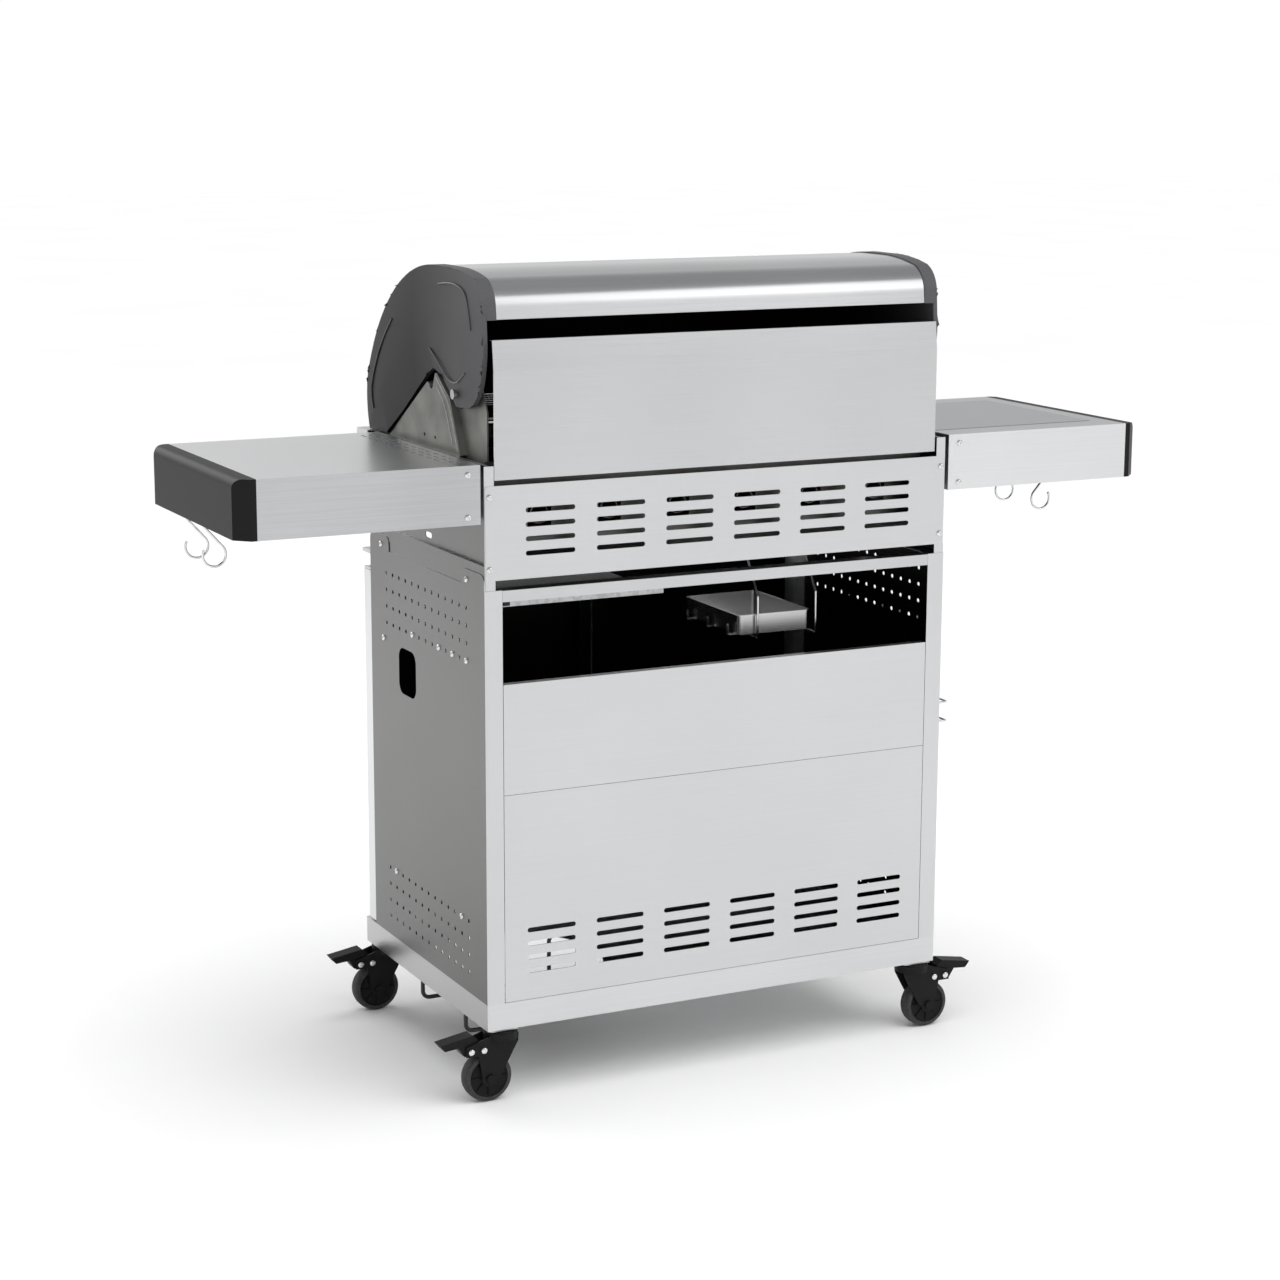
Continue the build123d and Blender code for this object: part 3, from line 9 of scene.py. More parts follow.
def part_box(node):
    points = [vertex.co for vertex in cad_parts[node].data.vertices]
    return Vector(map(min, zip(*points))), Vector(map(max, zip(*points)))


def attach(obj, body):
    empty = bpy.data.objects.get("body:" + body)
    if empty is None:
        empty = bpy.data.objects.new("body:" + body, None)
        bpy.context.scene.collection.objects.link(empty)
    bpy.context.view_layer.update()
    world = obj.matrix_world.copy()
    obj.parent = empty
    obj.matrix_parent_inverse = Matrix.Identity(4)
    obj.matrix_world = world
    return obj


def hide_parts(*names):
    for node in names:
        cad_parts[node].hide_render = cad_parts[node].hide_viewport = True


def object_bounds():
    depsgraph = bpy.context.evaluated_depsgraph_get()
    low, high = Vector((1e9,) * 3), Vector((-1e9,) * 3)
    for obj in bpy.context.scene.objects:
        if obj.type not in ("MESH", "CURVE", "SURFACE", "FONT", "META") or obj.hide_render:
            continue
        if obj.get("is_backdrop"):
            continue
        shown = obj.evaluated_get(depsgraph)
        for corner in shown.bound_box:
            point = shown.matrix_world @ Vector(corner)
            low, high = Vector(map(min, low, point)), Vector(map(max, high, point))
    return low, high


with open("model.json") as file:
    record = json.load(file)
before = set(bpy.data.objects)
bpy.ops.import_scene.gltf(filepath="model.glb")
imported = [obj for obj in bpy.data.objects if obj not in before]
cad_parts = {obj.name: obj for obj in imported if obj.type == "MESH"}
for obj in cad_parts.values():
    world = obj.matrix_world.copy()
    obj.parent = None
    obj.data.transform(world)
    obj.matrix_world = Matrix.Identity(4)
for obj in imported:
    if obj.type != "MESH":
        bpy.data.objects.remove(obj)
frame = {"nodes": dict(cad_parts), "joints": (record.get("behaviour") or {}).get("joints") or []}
cad_low, cad_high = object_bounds()
nodes = frame["nodes"]

# ---- The stage ----
# A pale floor without a seam under large soft lights, as in a catalogue studio. The camera stands
# behind the grill's right rear corner, a little above its shelves.
scene = bpy.context.scene
scene.view_settings.view_transform = "Standard"


def linear(code):
    """An sRGB hex colour as the linear values that shaders take."""
    parts = [int(code[i : i + 2], 16) / 255 for i in (1, 3, 5)]
    return [c / 12.92 if c <= 0.04045 else ((c + 0.055) / 1.055) ** 2.4 for c in parts] + [1.0]


def add_node(material, kind, inputs=None, **settings):
    """Adds a node with its settings; an input is a value, or a socket to link from."""
    node = material.node_tree.nodes.new("ShaderNode" + kind)
    for key, value in settings.items():
        setattr(node, key, value)
    for key, value in (inputs or {}).items():
        if isinstance(value, bpy.types.NodeSocket):
            material.node_tree.links.new(value, node.inputs[key])
        else:
            node.inputs[key].default_value = value
    return node


def finish_of(name, metallic, roughness, coat=0.0):
    """A new material with its shader and the metres it is drawn in."""
    material = bpy.data.materials.new(name)
    material.use_nodes = True
    shader = material.node_tree.nodes["Principled BSDF"]
    shader.inputs["Metallic"].default_value = metallic
    shader.inputs["Roughness"].default_value = roughness
    shader.inputs["Coat Weight"].default_value = coat
    metres = add_node(material, "TexCoord").outputs["Object"]
    return material, shader, metres


def link(material, source, target):
    material.node_tree.links.new(source, target)


def two_tones(material, factor, first, second):
    """A colour that runs between two hex colours as the factor goes from 0.35 to 0.65."""
    ramp = add_node(material, "ValToRGB", {"Fac": factor})
    ramp.color_ramp.elements[0].position = 0.35
    ramp.color_ramp.elements[1].position = 0.65
    ramp.color_ramp.elements[0].color = linear(first)
    ramp.color_ramp.elements[1].color = linear(second)
    return ramp.outputs["Color"]


def grain(material, metres, size, detail=2.0, stretch=(1, 1, 1)):
    """Noise whose features are a given size in metres, drawn out along the axes under 1."""
    scaled = add_node(material, "Mapping", {"Vector": metres, "Scale": [s / size for s in stretch]})
    inputs = {"Vector": scaled.outputs["Vector"], "Scale": 1.0, "Detail": detail}
    return add_node(material, "TexNoise", inputs).outputs["Fac"]


def relief(material, shader, height, depth):
    """Bump of a real depth in metres."""
    bump = add_node(material, "Bump", {"Height": height, "Distance": depth, "Strength": 1.0})
    link(material, bump.outputs["Normal"], shader.inputs["Normal"])


def vary_roughness(material, shader, factor, low, high):
    span = add_node(material, "MapRange", {"Value": factor, "To Min": low, "To Max": high})
    link(material, span.outputs["Result"], shader.inputs["Roughness"])


floor_paint, shader, metres = finish_of("seamless_paper", 0.0, 0.9)
paper_cloud = grain(floor_paint, metres, 0.9)
link(floor_paint, two_tones(floor_paint, paper_cloud, "#F6F6F6", "#F9F9F9"), shader.inputs["Base Color"])
bpy.ops.mesh.primitive_plane_add(size=60)
floor = bpy.context.object
floor.name = "floor"
floor.data.materials.append(floor_paint)
floor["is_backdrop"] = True

world = bpy.data.worlds.new("studio")
scene.world = world
world.use_nodes = True
world.node_tree.nodes["Background"].inputs["Color"].default_value = (1, 1, 1, 1)
sky = add_node(world, "TexCoord").outputs["Generated"]
height = add_node(world, "SeparateXYZ", {"Vector": sky}).outputs["Z"]
dimming = add_node(world, "ValToRGB", {"Fac": height})
dimming.color_ramp.elements[0].position, dimming.color_ramp.elements[0].color = 0.03, (1, 1, 1, 1)
dimming.color_ramp.elements[1].position, dimming.color_ramp.elements[1].color = 0.75, (0.36, 0.36, 0.36, 1)
dimming.color_ramp.elements.new(0.2).color = (0.7, 0.7, 0.7, 1)
link(world, dimming.outputs["Color"], world.node_tree.nodes["Background"].inputs["Color"])
world.node_tree.nodes["Background"].inputs["Strength"].default_value = 1.03


def sun_light(name, aim, spread, strength):
    lamp = bpy.data.lights.new(name, "SUN")
    lamp.angle = math.radians(spread)
    lamp.energy = strength
    holder = bpy.data.objects.new(name, lamp)
    scene.collection.objects.link(holder)
    holder.rotation_euler = Vector(aim).to_track_quat("-Z", "Y").to_euler()
    holder.visible_glossy = False


sun_light("overhead_light", (0.15, -0.25, -1.0), 70, 2.1)


def softbox(name, place, aim, size, power):
    lamp = bpy.data.lights.new(name, "AREA")
    lamp.shape = "RECTANGLE"
    lamp.size, lamp.size_y = size
    lamp.energy = power
    holder = bpy.data.objects.new(name, lamp)
    scene.collection.objects.link(holder)
    holder.location = place
    holder.rotation_euler = (Vector(aim) - Vector(place)).to_track_quat("-Z", "Y").to_euler()


softbox("key_light", (-2.6, 3.4, 3.2), (0, 0, 0.7), (3.2, 2.4), 30)
softbox("front_light", (1.6, -3.4, 2.6), (0, 0, 0.6), (3.0, 2.0), 40)

azimuth, pitch, roll = math.radians(153.475), math.radians(11.637), math.radians(0.21)
lens = bpy.data.cameras.new("camera")
lens.sensor_width = 36.0
lens.lens = 78.23
lens.clip_end = 100
camera = bpy.data.objects.new("camera", lens)
scene.collection.objects.link(camera)
turn = Matrix.Rotation(azimuth, 4, "Z") @ Matrix.Rotation(math.pi / 2 - pitch, 4, "X")
camera.matrix_world = Matrix.Translation((1.997, 3.9997, 1.559)) @ turn @ Matrix.Rotation(roll, 4, "Z")
scene.camera = camera


def coat_nodes(material, *names):
    """Gives CAD nodes a material."""
    for name in names:
        mesh = nodes[name].data
        mesh.materials.clear()
        mesh.materials.append(material)


# ---- Sheet steel of the cabinet, doors and head ----
# Folded 1.2 mm stainless sheet, brushed along its length, which gives fine straight streaks and a
# soft blurred shine. It is spot welded and screwed at its flanges.
streak = 0.0009
axis_y = (cad_low[1] + cad_high[1]) / 2
middle_z = 0.62


def facing_out(material, metres):
    """1 on faces that look away from the grill's upright middle line, and 0 on those inside."""
    outward = add_node(
        material, "VectorMath", {0: metres, 1: (0, axis_y, middle_z)}, operation="SUBTRACT"
    ).outputs["Vector"]
    normal = add_node(material, "NewGeometry").outputs["True Normal"]
    reach = add_node(material, "VectorMath", {0: outward, 1: normal}, operation="DOT_PRODUCT")
    faces_out = add_node(material, "Math", {0: reach.outputs["Value"], 1: 0.0}, operation="GREATER_THAN")
    return faces_out.outputs[0]


def brushed_steel(name, tone, along, roughness, faces=None, inside=None, depth=0.00001):
    """Brushed stainless steel; real brush marks are 0.1 mm apart and are drawn coarser to show. Faces that
    look along a listed axis get a lighter or darker tone of their own as painted light and shade, and faces
    inside the grill take a dark colour as painted shade.
    """
    material, shader, metres = finish_of(name, 1.0, roughness)
    stretch = [0.006 if axis == along else 1 for axis in "XYZ"]
    marks = grain(material, metres, streak, 3.0, stretch)
    cloud = grain(material, metres, 0.3, 1.0)
    blend = add_node(material, "Mix", {"Factor": 0.5, "A": marks, "B": cloud}, data_type="FLOAT")
    both = blend.outputs["Result"]
    colour = two_tones(material, both, *tone)
    # Painted light and shade: faces that look along a listed axis take their own tone, lighter or darker as
    # the light falls on them.
    if faces:
        normal = add_node(material, "NewGeometry").outputs["True Normal"]
        split = add_node(material, "SeparateXYZ", {"Vector": normal})
        for axis, other in faces.items():
            level = add_node(material, "Math", {0: split.outputs[axis]}, operation="ABSOLUTE").outputs[0]
            looks_along = add_node(material, "Math", {0: level, 1: 0.7}, operation="GREATER_THAN").outputs[0]
            colour = mixed(material, looks_along, colour, two_tones(material, both, *other))
    # Painted shade: faces that look into the grill take the dark inner colour.
    if inside:
        colour = mixed(material, facing_out(material, metres), linear(inside), colour)
    link(material, colour, shader.inputs["Base Color"])
    vary_roughness(material, shader, marks, roughness - 0.03, roughness + 0.05)
    relief(material, shader, marks, depth)
    return material


def mixed(material, factor, first, second):
    blend = add_node(material, "Mix", data_type="RGBA")
    for socket, value in ((blend.inputs[0], factor), (blend.inputs[6], first), (blend.inputs[7], second)):
        if isinstance(value, bpy.types.NodeSocket):
            link(material, value, socket)
        else:
            socket.default_value = value
    return blend.outputs[2]


# Painted shade: the inner faces of the rear panels, side panels and doors are painted near-black, standing
# in for the shade inside the cabinet; they are the same steel as the outer faces.
painted_inner_shade = "#232221"
rear_steel = brushed_steel("stainless_rear_panels", ("#CACBCC", "#CFD0D1"), "X", 0.32, inside=painted_inner_shade)
# Painted shade: the side panels' faces along X are painted dark grey, as the shade on the grill's sides.
side_steel = brushed_steel(
    "stainless_side_panels", ("#CACBCC", "#D2D3D4"), "Y", 0.34, {"X": ("#6E6E6D", "#747474")}, inside=painted_inner_shade
)
# Painted shade: the tray's faces along X are painted darker than its other faces.
tray_steel = brushed_steel("stainless_tray", ("#CCCDCE", "#D5D6D7"), "X", 0.3, {"X": ("#B7B7B7", "#BEBEBE")})
# Painted light and shade: the right shelf's tops are painted light and its faces along X darker.
shelf_face_shading = {"X": ("#A9A9A9", "#B4B4B4"), "Z": ("#E2E3E4", "#E8E9EA")}
shelf_steel = brushed_steel("stainless_shelves", ("#B4B5B7", "#C4C5C7"), "X", 0.3, shelf_face_shading)
# Painted light: the left shelf is a lighter copy of the shelf steel, with its top painted darker than its
# other faces, as the light falls on that shelf.
left_shelf_face_shading = {"Z": ("#BCBEC0", "#C4C6C8")}
left_shelf_lit_steel = brushed_steel("stainless_left_shelf_lit_copy", ("#D6D7D8", "#DDDEDF"), "X", 0.3, left_shelf_face_shading)
burner_lid_steel = brushed_steel("stainless_burner_lid", ("#A9ABAD", "#B1B3B5"), "Y", 0.3)
door_steel = brushed_steel("stainless_doors", ("#CFD0D1", "#DADBDC"), "Z", 0.3, inside=painted_inner_shade)
deflector_steel = brushed_steel("stainless_deflector", ("#C3C4C5", "#CACBCC"), "X", 0.28)
coat_nodes(rear_steel, "rear_panel_lower", "rear_panel_upper", "head_rear_panel")
coat_nodes(deflector_steel, "rear_heat_deflector", "control_panel", "cabinet_frame")
coat_nodes(shelf_steel, "shelf_right")
coat_nodes(left_shelf_lit_steel, "shelf_left")
coat_nodes(burner_lid_steel, "side_burner_lid")
coat_nodes(side_steel, "side_panel_right", "side_panel_left", "head_sides")
coat_nodes(tray_steel, "base_tray")
coat_nodes(door_steel, "door_right", "door_left")

# ---- Zinc-plated frame, brackets and gas train ----
# Plain rolled steel with a thin zinc coat, which leaves pale crystal patches a few millimetres wide.
zinc, shader, metres = finish_of("zinc_plated_steel", 1.0, 0.4)
spangle = add_node(zinc, "TexVoronoi", {"Vector": metres, "Scale": 1 / 0.006})
spangle_tone = add_node(zinc, "RGBToBW", {"Color": spangle.outputs["Color"]}).outputs["Val"]
link(zinc, two_tones(zinc, spangle_tone, "#A3A4A5", "#B8B9BA"), shader.inputs["Base Color"])
vary_roughness(zinc, shader, spangle_tone, 0.34, 0.46)
coat_nodes(zinc, "heat_shield", "door_hinge_pins", "lid_hinge_bolts", "castor_plates")

brass, shader, metres = finish_of("brass_pipe", 1.0, 0.3)
brass_wear = grain(brass, metres, 0.012)
link(brass, two_tones(brass, brass_wear, "#B89B5E", "#C9AE74"), shader.inputs["Base Color"])
vary_roughness(brass, shader, brass_wear, 0.24, 0.38)
coat_nodes(brass, "gas_manifold")

# ---- Side burner bowl and bottle cradle ----
# Pressed steel and rod under black vitreous enamel, baked smooth with a faint orange peel.
enamel, shader, metres = finish_of("black_vitreous_enamel", 0.0, 0.3, 0.4)
peel = grain(enamel, metres, 0.004)
enamel_cloud = grain(enamel, metres, 0.08)
link(enamel, two_tones(enamel, enamel_cloud, "#151516", "#1F1F20"), shader.inputs["Base Color"])
vary_roughness(enamel, shader, peel, 0.26, 0.38)
relief(enamel, shader, peel, 0.00006)
coat_nodes(enamel, "side_burner", "bottle_cradle")

# ---- Firebox trough ----
# Deep-drawn aluminised steel, dull grey, darkened unevenly by heat.
trough_steel, shader, metres = finish_of("aluminised_steel", 1.0, 0.45)
heat_cloud = grain(trough_steel, metres, 0.09, 3.0)
link(trough_steel, two_tones(trough_steel, heat_cloud, "#7C7B79", "#979694"), shader.inputs["Base Color"])
vary_roughness(trough_steel, shader, heat_cloud, 0.38, 0.52)
coat_nodes(trough_steel, "firebox_body")

# ---- Die-cast end walls of the firebox ----
# Cast aluminium left grey and slightly rough, as it comes out of the die.
die_cast, shader, metres = finish_of("die_cast_grey", 0.55, 0.5)
cast_skin = grain(die_cast, metres, 0.0022, 4.0)
cast_cloud = grain(die_cast, metres, 0.05)
link(die_cast, two_tones(die_cast, cast_cloud, "#6E6E6B", "#84847F"), shader.inputs["Base Color"])
vary_roughness(die_cast, shader, cast_skin, 0.42, 0.6)
relief(die_cast, shader, cast_skin, 0.00008)
coat_nodes(die_cast, "firebox_ends")

# ---- Burners, flame tamers and grates ----
# Stainless tubes and tents that the flames have tinted straw and brown, under grates of cast iron
# with a rough black seasoned skin.
heat_steel, shader, metres = finish_of("heat_tinted_steel", 1.0, 0.42)
tint = grain(heat_steel, metres, 0.05, 3.0)
link(heat_steel, two_tones(heat_steel, tint, "#7E7469", "#A8A199"), shader.inputs["Base Color"])
vary_roughness(heat_steel, shader, tint, 0.34, 0.5)
coat_nodes(heat_steel, "burners", "flame_tamers")

iron, shader, metres = finish_of("seasoned_cast_iron", 0.3, 0.62)
iron_skin = grain(iron, metres, 0.0018, 4.0)
link(iron, two_tones(iron, iron_skin, "#1B1B1B", "#2B2A29"), shader.inputs["Base Color"])
relief(iron, shader, iron_skin, 0.00025)
coat_nodes(iron, "cooking_grates")

# ---- Chromed wire and bars ----
# Bent steel wire and tube with bright chrome, a little wavy where it was bent.
chrome, shader, metres = finish_of("bright_chrome", 1.0, 0.1)
ripple = grain(chrome, metres, 0.01)
link(chrome, two_tones(chrome, ripple, "#D2D3D5", "#E4E5E6"), shader.inputs["Base Color"])
vary_roughness(chrome, shader, ripple, 0.07, 0.16)
coat_nodes(chrome, "wire_holder", "drip_pan_hanger", "s_hooks_right", "s_hooks_left", "warming_rack")
coat_nodes(chrome, "door_handle_right", "door_handle_left", "lid_handle")
pan_steel = brushed_steel("drawn_pan_steel", ("#D0D0D0", "#DCDCDC"), "Y", 0.24)
coat_nodes(pan_steel, "drip_pan")

# ---- Lid ----
# A rolled stainless skin, brushed along its length, between two painted pressed end caps. The caps
# are charcoal powder coat with an even fine texture and pressed-in lines.
lid_steel = brushed_steel("lid_stainless", ("#C6C7C9", "#D2D3D4"), "X", 0.24)
coat_nodes(lid_steel, "lid_skin")
powder, shader, metres = finish_of("charcoal_powder_coat", 0.0, 0.42)
shader.inputs["Specular IOR Level"].default_value = 0.12
speck = grain(powder, metres, 0.0016, 3.0)
# Painted light: the caps run from near-black at the front to mid grey at the rear, standing in for the light
# on their crowned rear part.
front_to_back = add_node(powder, "SeparateXYZ", {"Vector": metres}).outputs["Y"]
reach_back = {"Value": front_to_back, "From Min": 0.0, "From Max": 0.25}
painted_rear_light = add_node(powder, "MapRange", reach_back).outputs["Result"]
shaded_front_tone = two_tones(powder, speck, "#151516", "#1B1B1C")
lit_rear_tone = two_tones(powder, speck, "#545456", "#5A5A5C")
link(powder, mixed(powder, painted_rear_light, shaded_front_tone, lit_rear_tone), shader.inputs["Base Color"])
vary_roughness(powder, shader, speck, 0.34, 0.5)
relief(powder, shader, speck, 0.00005)
coat_nodes(powder, "lid_end_caps")

# ---- Moulded black plastic ----
# Glass-filled nylon of the shelf ends, castor forks and pedals, with a fine spark-eroded grain.
nylon, shader, metres = finish_of("moulded_black_nylon", 0.0, 0.45)
shader.inputs["Specular IOR Level"].default_value = 0.15
pebble = grain(nylon, metres, 0.0012, 2.0)
link(nylon, two_tones(nylon, pebble, "#111111", "#181818"), shader.inputs["Base Color"])
vary_roughness(nylon, shader, pebble, 0.38, 0.55)
relief(nylon, shader, pebble, 0.00005)
coat_nodes(nylon, "shelf_end_caps")
for n in (1, 2, 3, 4):
    coat_nodes(nylon, f"castor_fork_{n}", f"castor_pedal_{n}")

tread, shader, metres = finish_of("castor_tread_rubber", 0.0, 0.7)
scuff = grain(tread, metres, 0.006, 4.0)
link(tread, two_tones(tread, scuff, "#262626", "#363636"), shader.inputs["Base Color"])
relief(tread, shader, scuff, 0.0001)
coat_nodes(tread, *[f"castor_wheel_{n}" for n in (1, 2, 3, 4)])

# ---- Knobs ----
# Zinc die castings with a satin nickel plate, pushed on to the valve stems.
nickel, shader, metres = finish_of("satin_nickel", 1.0, 0.28)
turning = grain(nickel, metres, 0.003, 2.0)
link(nickel, two_tones(nickel, turning, "#B4B4B3", "#C6C6C5"), shader.inputs["Base Color"])
vary_roughness(nickel, shader, turning, 0.24, 0.34)
coat_nodes(nickel, *[f"knob_{n}" for n in range(1, 7)], "side_burner_knob", "lid_thermometer")
coat_nodes(nickel, "screws")


# ---- Castor wheels ----
# Moulded nylon centres with a dark rubber tread, ribbed on both sides, that run on the axle bolt.
def lathe(name, outline, place, axis, material, steps=64):
    """A turned piece: the outline is (distance along the axis, radius) and closes on itself."""
    mesh = bmesh.new()
    basis = Vector((0, 0, 1)).rotation_difference(Vector(axis)).to_matrix().to_4x4()
    basis = Matrix.Translation(place) @ basis
    rings = []
    for step in range(steps):
        angle = 2 * math.pi * step / steps
        around = [Vector((r * math.cos(angle), r * math.sin(angle), z)) for z, r in outline]
        rings.append([mesh.verts.new(basis @ point) for point in around])
    count = len(outline)
    for step in range(steps):
        here, there = rings[step], rings[(step + 1) % steps]
        for k in range(count):
            mesh.faces.new((here[k], there[k], there[(k + 1) % count], here[(k + 1) % count]))
    bmesh.ops.remove_doubles(mesh, verts=mesh.verts, dist=1e-7)
    bmesh.ops.recalc_face_normals(mesh, faces=mesh.faces)
    return finish_mesh(name, mesh, material)


def finish_mesh(name, mesh, material, smooth=35):
    data = bpy.data.meshes.new(name)
    mesh.to_mesh(data)
    mesh.free()
    data.materials.append(material)
    data.polygons.foreach_set("use_smooth", [True] * len(data.polygons))
    data.set_sharp_from_angle(angle=math.radians(smooth))
    piece = bpy.data.objects.new(name, data)
    scene.collection.objects.link(piece)
    return piece


wheel_outline = [
    (-13.2, 4.05), (-13.2, 8.5), (-12.4, 9.6), (-10.5, 10.4), (-9.2, 12), (-8.8, 15), (-8.8, 26),
    (-9.4, 28.5), (-11, 30), (-12, 31), (-12, 34), (-11.2, 36.6), (-9, 38.3), (-5, 39),
    (5, 39), (9, 38.3), (11.2, 36.6), (12, 34), (12, 31), (11, 30), (9.4, 28.5),
    (8.8, 26), (8.8, 15), (9.2, 12), (10.5, 10.4), (12.4, 9.6), (13.2, 8.5), (13.2, 4.05),
]
rib_size = Matrix.Diagonal((0.0195, 0.0026, 0.0022, 1))
for number in (1, 2, 3, 4):
    low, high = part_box(f"castor_wheel_{number}")
    hub = [(low[k] + high[k]) / 2 for k in range(3)]
    outline = [(z / 1000, r / 1000) for z, r in wheel_outline]
    wheel = lathe(f"wheel_turned_{number}", outline, hub, (0, 1, 0), nylon, 72)
    wheel.data.materials.append(tread)
    for face in wheel.data.polygons:
        spread = math.hypot(face.center[0] - hub[0], face.center[2] - hub[2])
        face.material_index = 1 if spread > 0.0315 else 0
    ribs = bmesh.new()
    for k in range(8):
        for side in (1, -1):
            rib = bmesh.ops.create_cube(ribs, size=1.0)["verts"]
            place = Matrix.Translation(hub) @ Matrix.Rotation(math.pi * k / 4, 4, "Y")
            place = place @ Matrix.Translation((0.0195, side * 0.0094, 0)) @ rib_size
            bmesh.ops.transform(ribs, matrix=place, verts=rib)
    rib_piece = finish_mesh(f"wheel_ribs_{number}", ribs, nylon)
    for piece in (wheel, rib_piece):
        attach(piece, f"wheel_{number}")
    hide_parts(f"castor_wheel_{number}")

# ---- Rivets of the castors ----
# Bright domed steel rivets, two on each side of a fork, that hold the pedal and its cross pin.
rivet_steel, shader, metres = finish_of("bright_rivet_steel", 1.0, 0.22)
rivet_skin = grain(rivet_steel, metres, 0.002)
link(rivet_steel, two_tones(rivet_steel, rivet_skin, "#D8D8D8", "#EAEAEA"), shader.inputs["Base Color"])
vary_roughness(rivet_steel, shader, rivet_skin, 0.16, 0.3)
rivet_outline = [(0, 0), (0, 5.0), (0.8, 4.9), (1.7, 4.0), (2.2, 2.6), (2.4, 1.0), (2.4, 0)]
for number in (1, 2, 3, 4):
    fork_low, fork_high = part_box(f"castor_fork_{number}")
    middle_y = (fork_low[1] + fork_high[1]) / 2
    outward = 1 if fork_high[0] + fork_low[0] > 0 else -1
    swivel_x = (fork_low[0] if outward > 0 else fork_high[0]) + outward * 0.027
    for k, (reach, level) in enumerate(((0.034, 0.086), (0.055, 0.086))):
        for side in (1, -1):
            place = (swivel_x + outward * reach, middle_y + side * 0.0174, level)
            outline = [(z / 1000, r / 1000) for z, r in rivet_outline]
            name = f"castor_rivet_{number}_{k}_{'rf'[side < 0]}"
            rivet = lathe(name, outline, place, (0, side, 0), rivet_steel, 28)
            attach(rivet, f"castor_{number}")

# ---- Screws ----
# M5 pan-head machine screws with a cross recess, in bright zinc-plated steel.
screw_outline = [(0, 0), (0, 5.0), (0.5, 5.0), (1.5, 4.7), (2.4, 3.8), (2.9, 2.6), (3.0, 1.2), (3.0, 0)]
outline = [(z / 1000, r / 1000) for z, r in screw_outline]
master = lathe("screw_head_master", outline, (0, 0, 0), (0, 0, 1), rivet_steel, 32)
recess = bmesh.new()
slot_size = Matrix.Diagonal((0.0052, 0.0011, 0.0024, 1))
for turn_angle in (0, math.pi / 2):
    bar = bmesh.ops.create_cube(recess, size=1.0)["verts"]
    place = Matrix.Rotation(turn_angle, 4, "Z") @ Matrix.Translation((0, 0, 0.0026)) @ slot_size
    bmesh.ops.transform(recess, matrix=place, verts=bar)
cutter = finish_mesh("screw_recess", recess, rivet_steel)
cut = master.modifiers.new("recess", "BOOLEAN")
cut.operation, cut.object, cut.solver = "DIFFERENCE", cutter, "EXACT"
cut.use_self = True
bpy.context.view_layer.update()
cut_head = bpy.data.meshes.new_from_object(master.evaluated_get(bpy.context.evaluated_depsgraph_get()))
for tool in (master, cutter):
    bpy.data.objects.remove(tool)

islands = bmesh.new()
islands.from_mesh(nodes["screws"].data)
bmesh.ops.remove_doubles(islands, verts=islands.verts, dist=1e-5)
heads = bmesh.new()
left = set(islands.verts)
while left:
    group, edge_of = [], [left.pop()]
    while edge_of:
        vert = edge_of.pop()
        group.append(vert.co)
        for edge in vert.link_edges:
            other = edge.other_vert(vert)
            if other in left:
                left.remove(other)
                edge_of.append(other)
    lowest = Vector([min(co[k] for co in group) for k in range(3)])
    highest = Vector([max(co[k] for co in group) for k in range(3)])
    centre = (lowest + highest) / 2
    if highest.x - lowest.x > 0.011:
        out = Vector((1 if centre.x > 0 else -1, 0, 0))
    else:
        out = Vector((0, 1, 0))
    foot = centre + out * (0.006 - 0.003)
    place = Matrix.Translation(foot) @ Vector((0, 0, 1)).rotation_difference(out).to_matrix().to_4x4()
    place = place @ Matrix.Rotation(centre.z * 40, 4, "Z")
    before = len(heads.verts)
    heads.from_mesh(cut_head)
    heads.verts.ensure_lookup_table()
    bmesh.ops.transform(heads, matrix=place, verts=heads.verts[before:])
islands.free()
screw_heads = finish_mesh("screw_heads", heads, rivet_steel, 30)
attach(screw_heads, "root")
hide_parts("screws")

# ---- Lid lining and the lines of the end caps ----
# The lid is lined with a near-black sheet, as painted shade inside the lid. Each cap has two long lines and
# one round the hinge boss, all made as thin raised beads.
lid_shade_lining, shader, metres = finish_of("near_black_lining_painted_shade", 0.0, 0.85)
lid_lining_tone = grain(lid_shade_lining, metres, 0.03, 3.0)
link(lid_shade_lining, two_tones(lid_shade_lining, lid_lining_tone, "#050505", "#0A0A0A"), shader.inputs["Base Color"])
relief(lid_shade_lining, shader, lid_lining_tone, 0.0001)
lid_hinge = next(j for j in frame["joints"] if j["child"] == "lid")
pivot_y, pivot_z = lid_hinge["pos_m"][1], lid_hinge["pos_m"][2]
skin_low_corner, skin_high_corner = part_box("lid_skin")


def lid_arc(radius, first, last, steps):
    """Points of the lid's big front arc, from its centre under the crown, as (y, z)."""
    centre_y, centre_z = pivot_y - 0.0845, pivot_z + 0.1866 - 0.3108
    for k in range(steps + 1):
        angle = math.radians(first + (last - first) * k / steps)
        yield centre_y + radius * math.cos(angle), centre_z + radius * math.sin(angle)


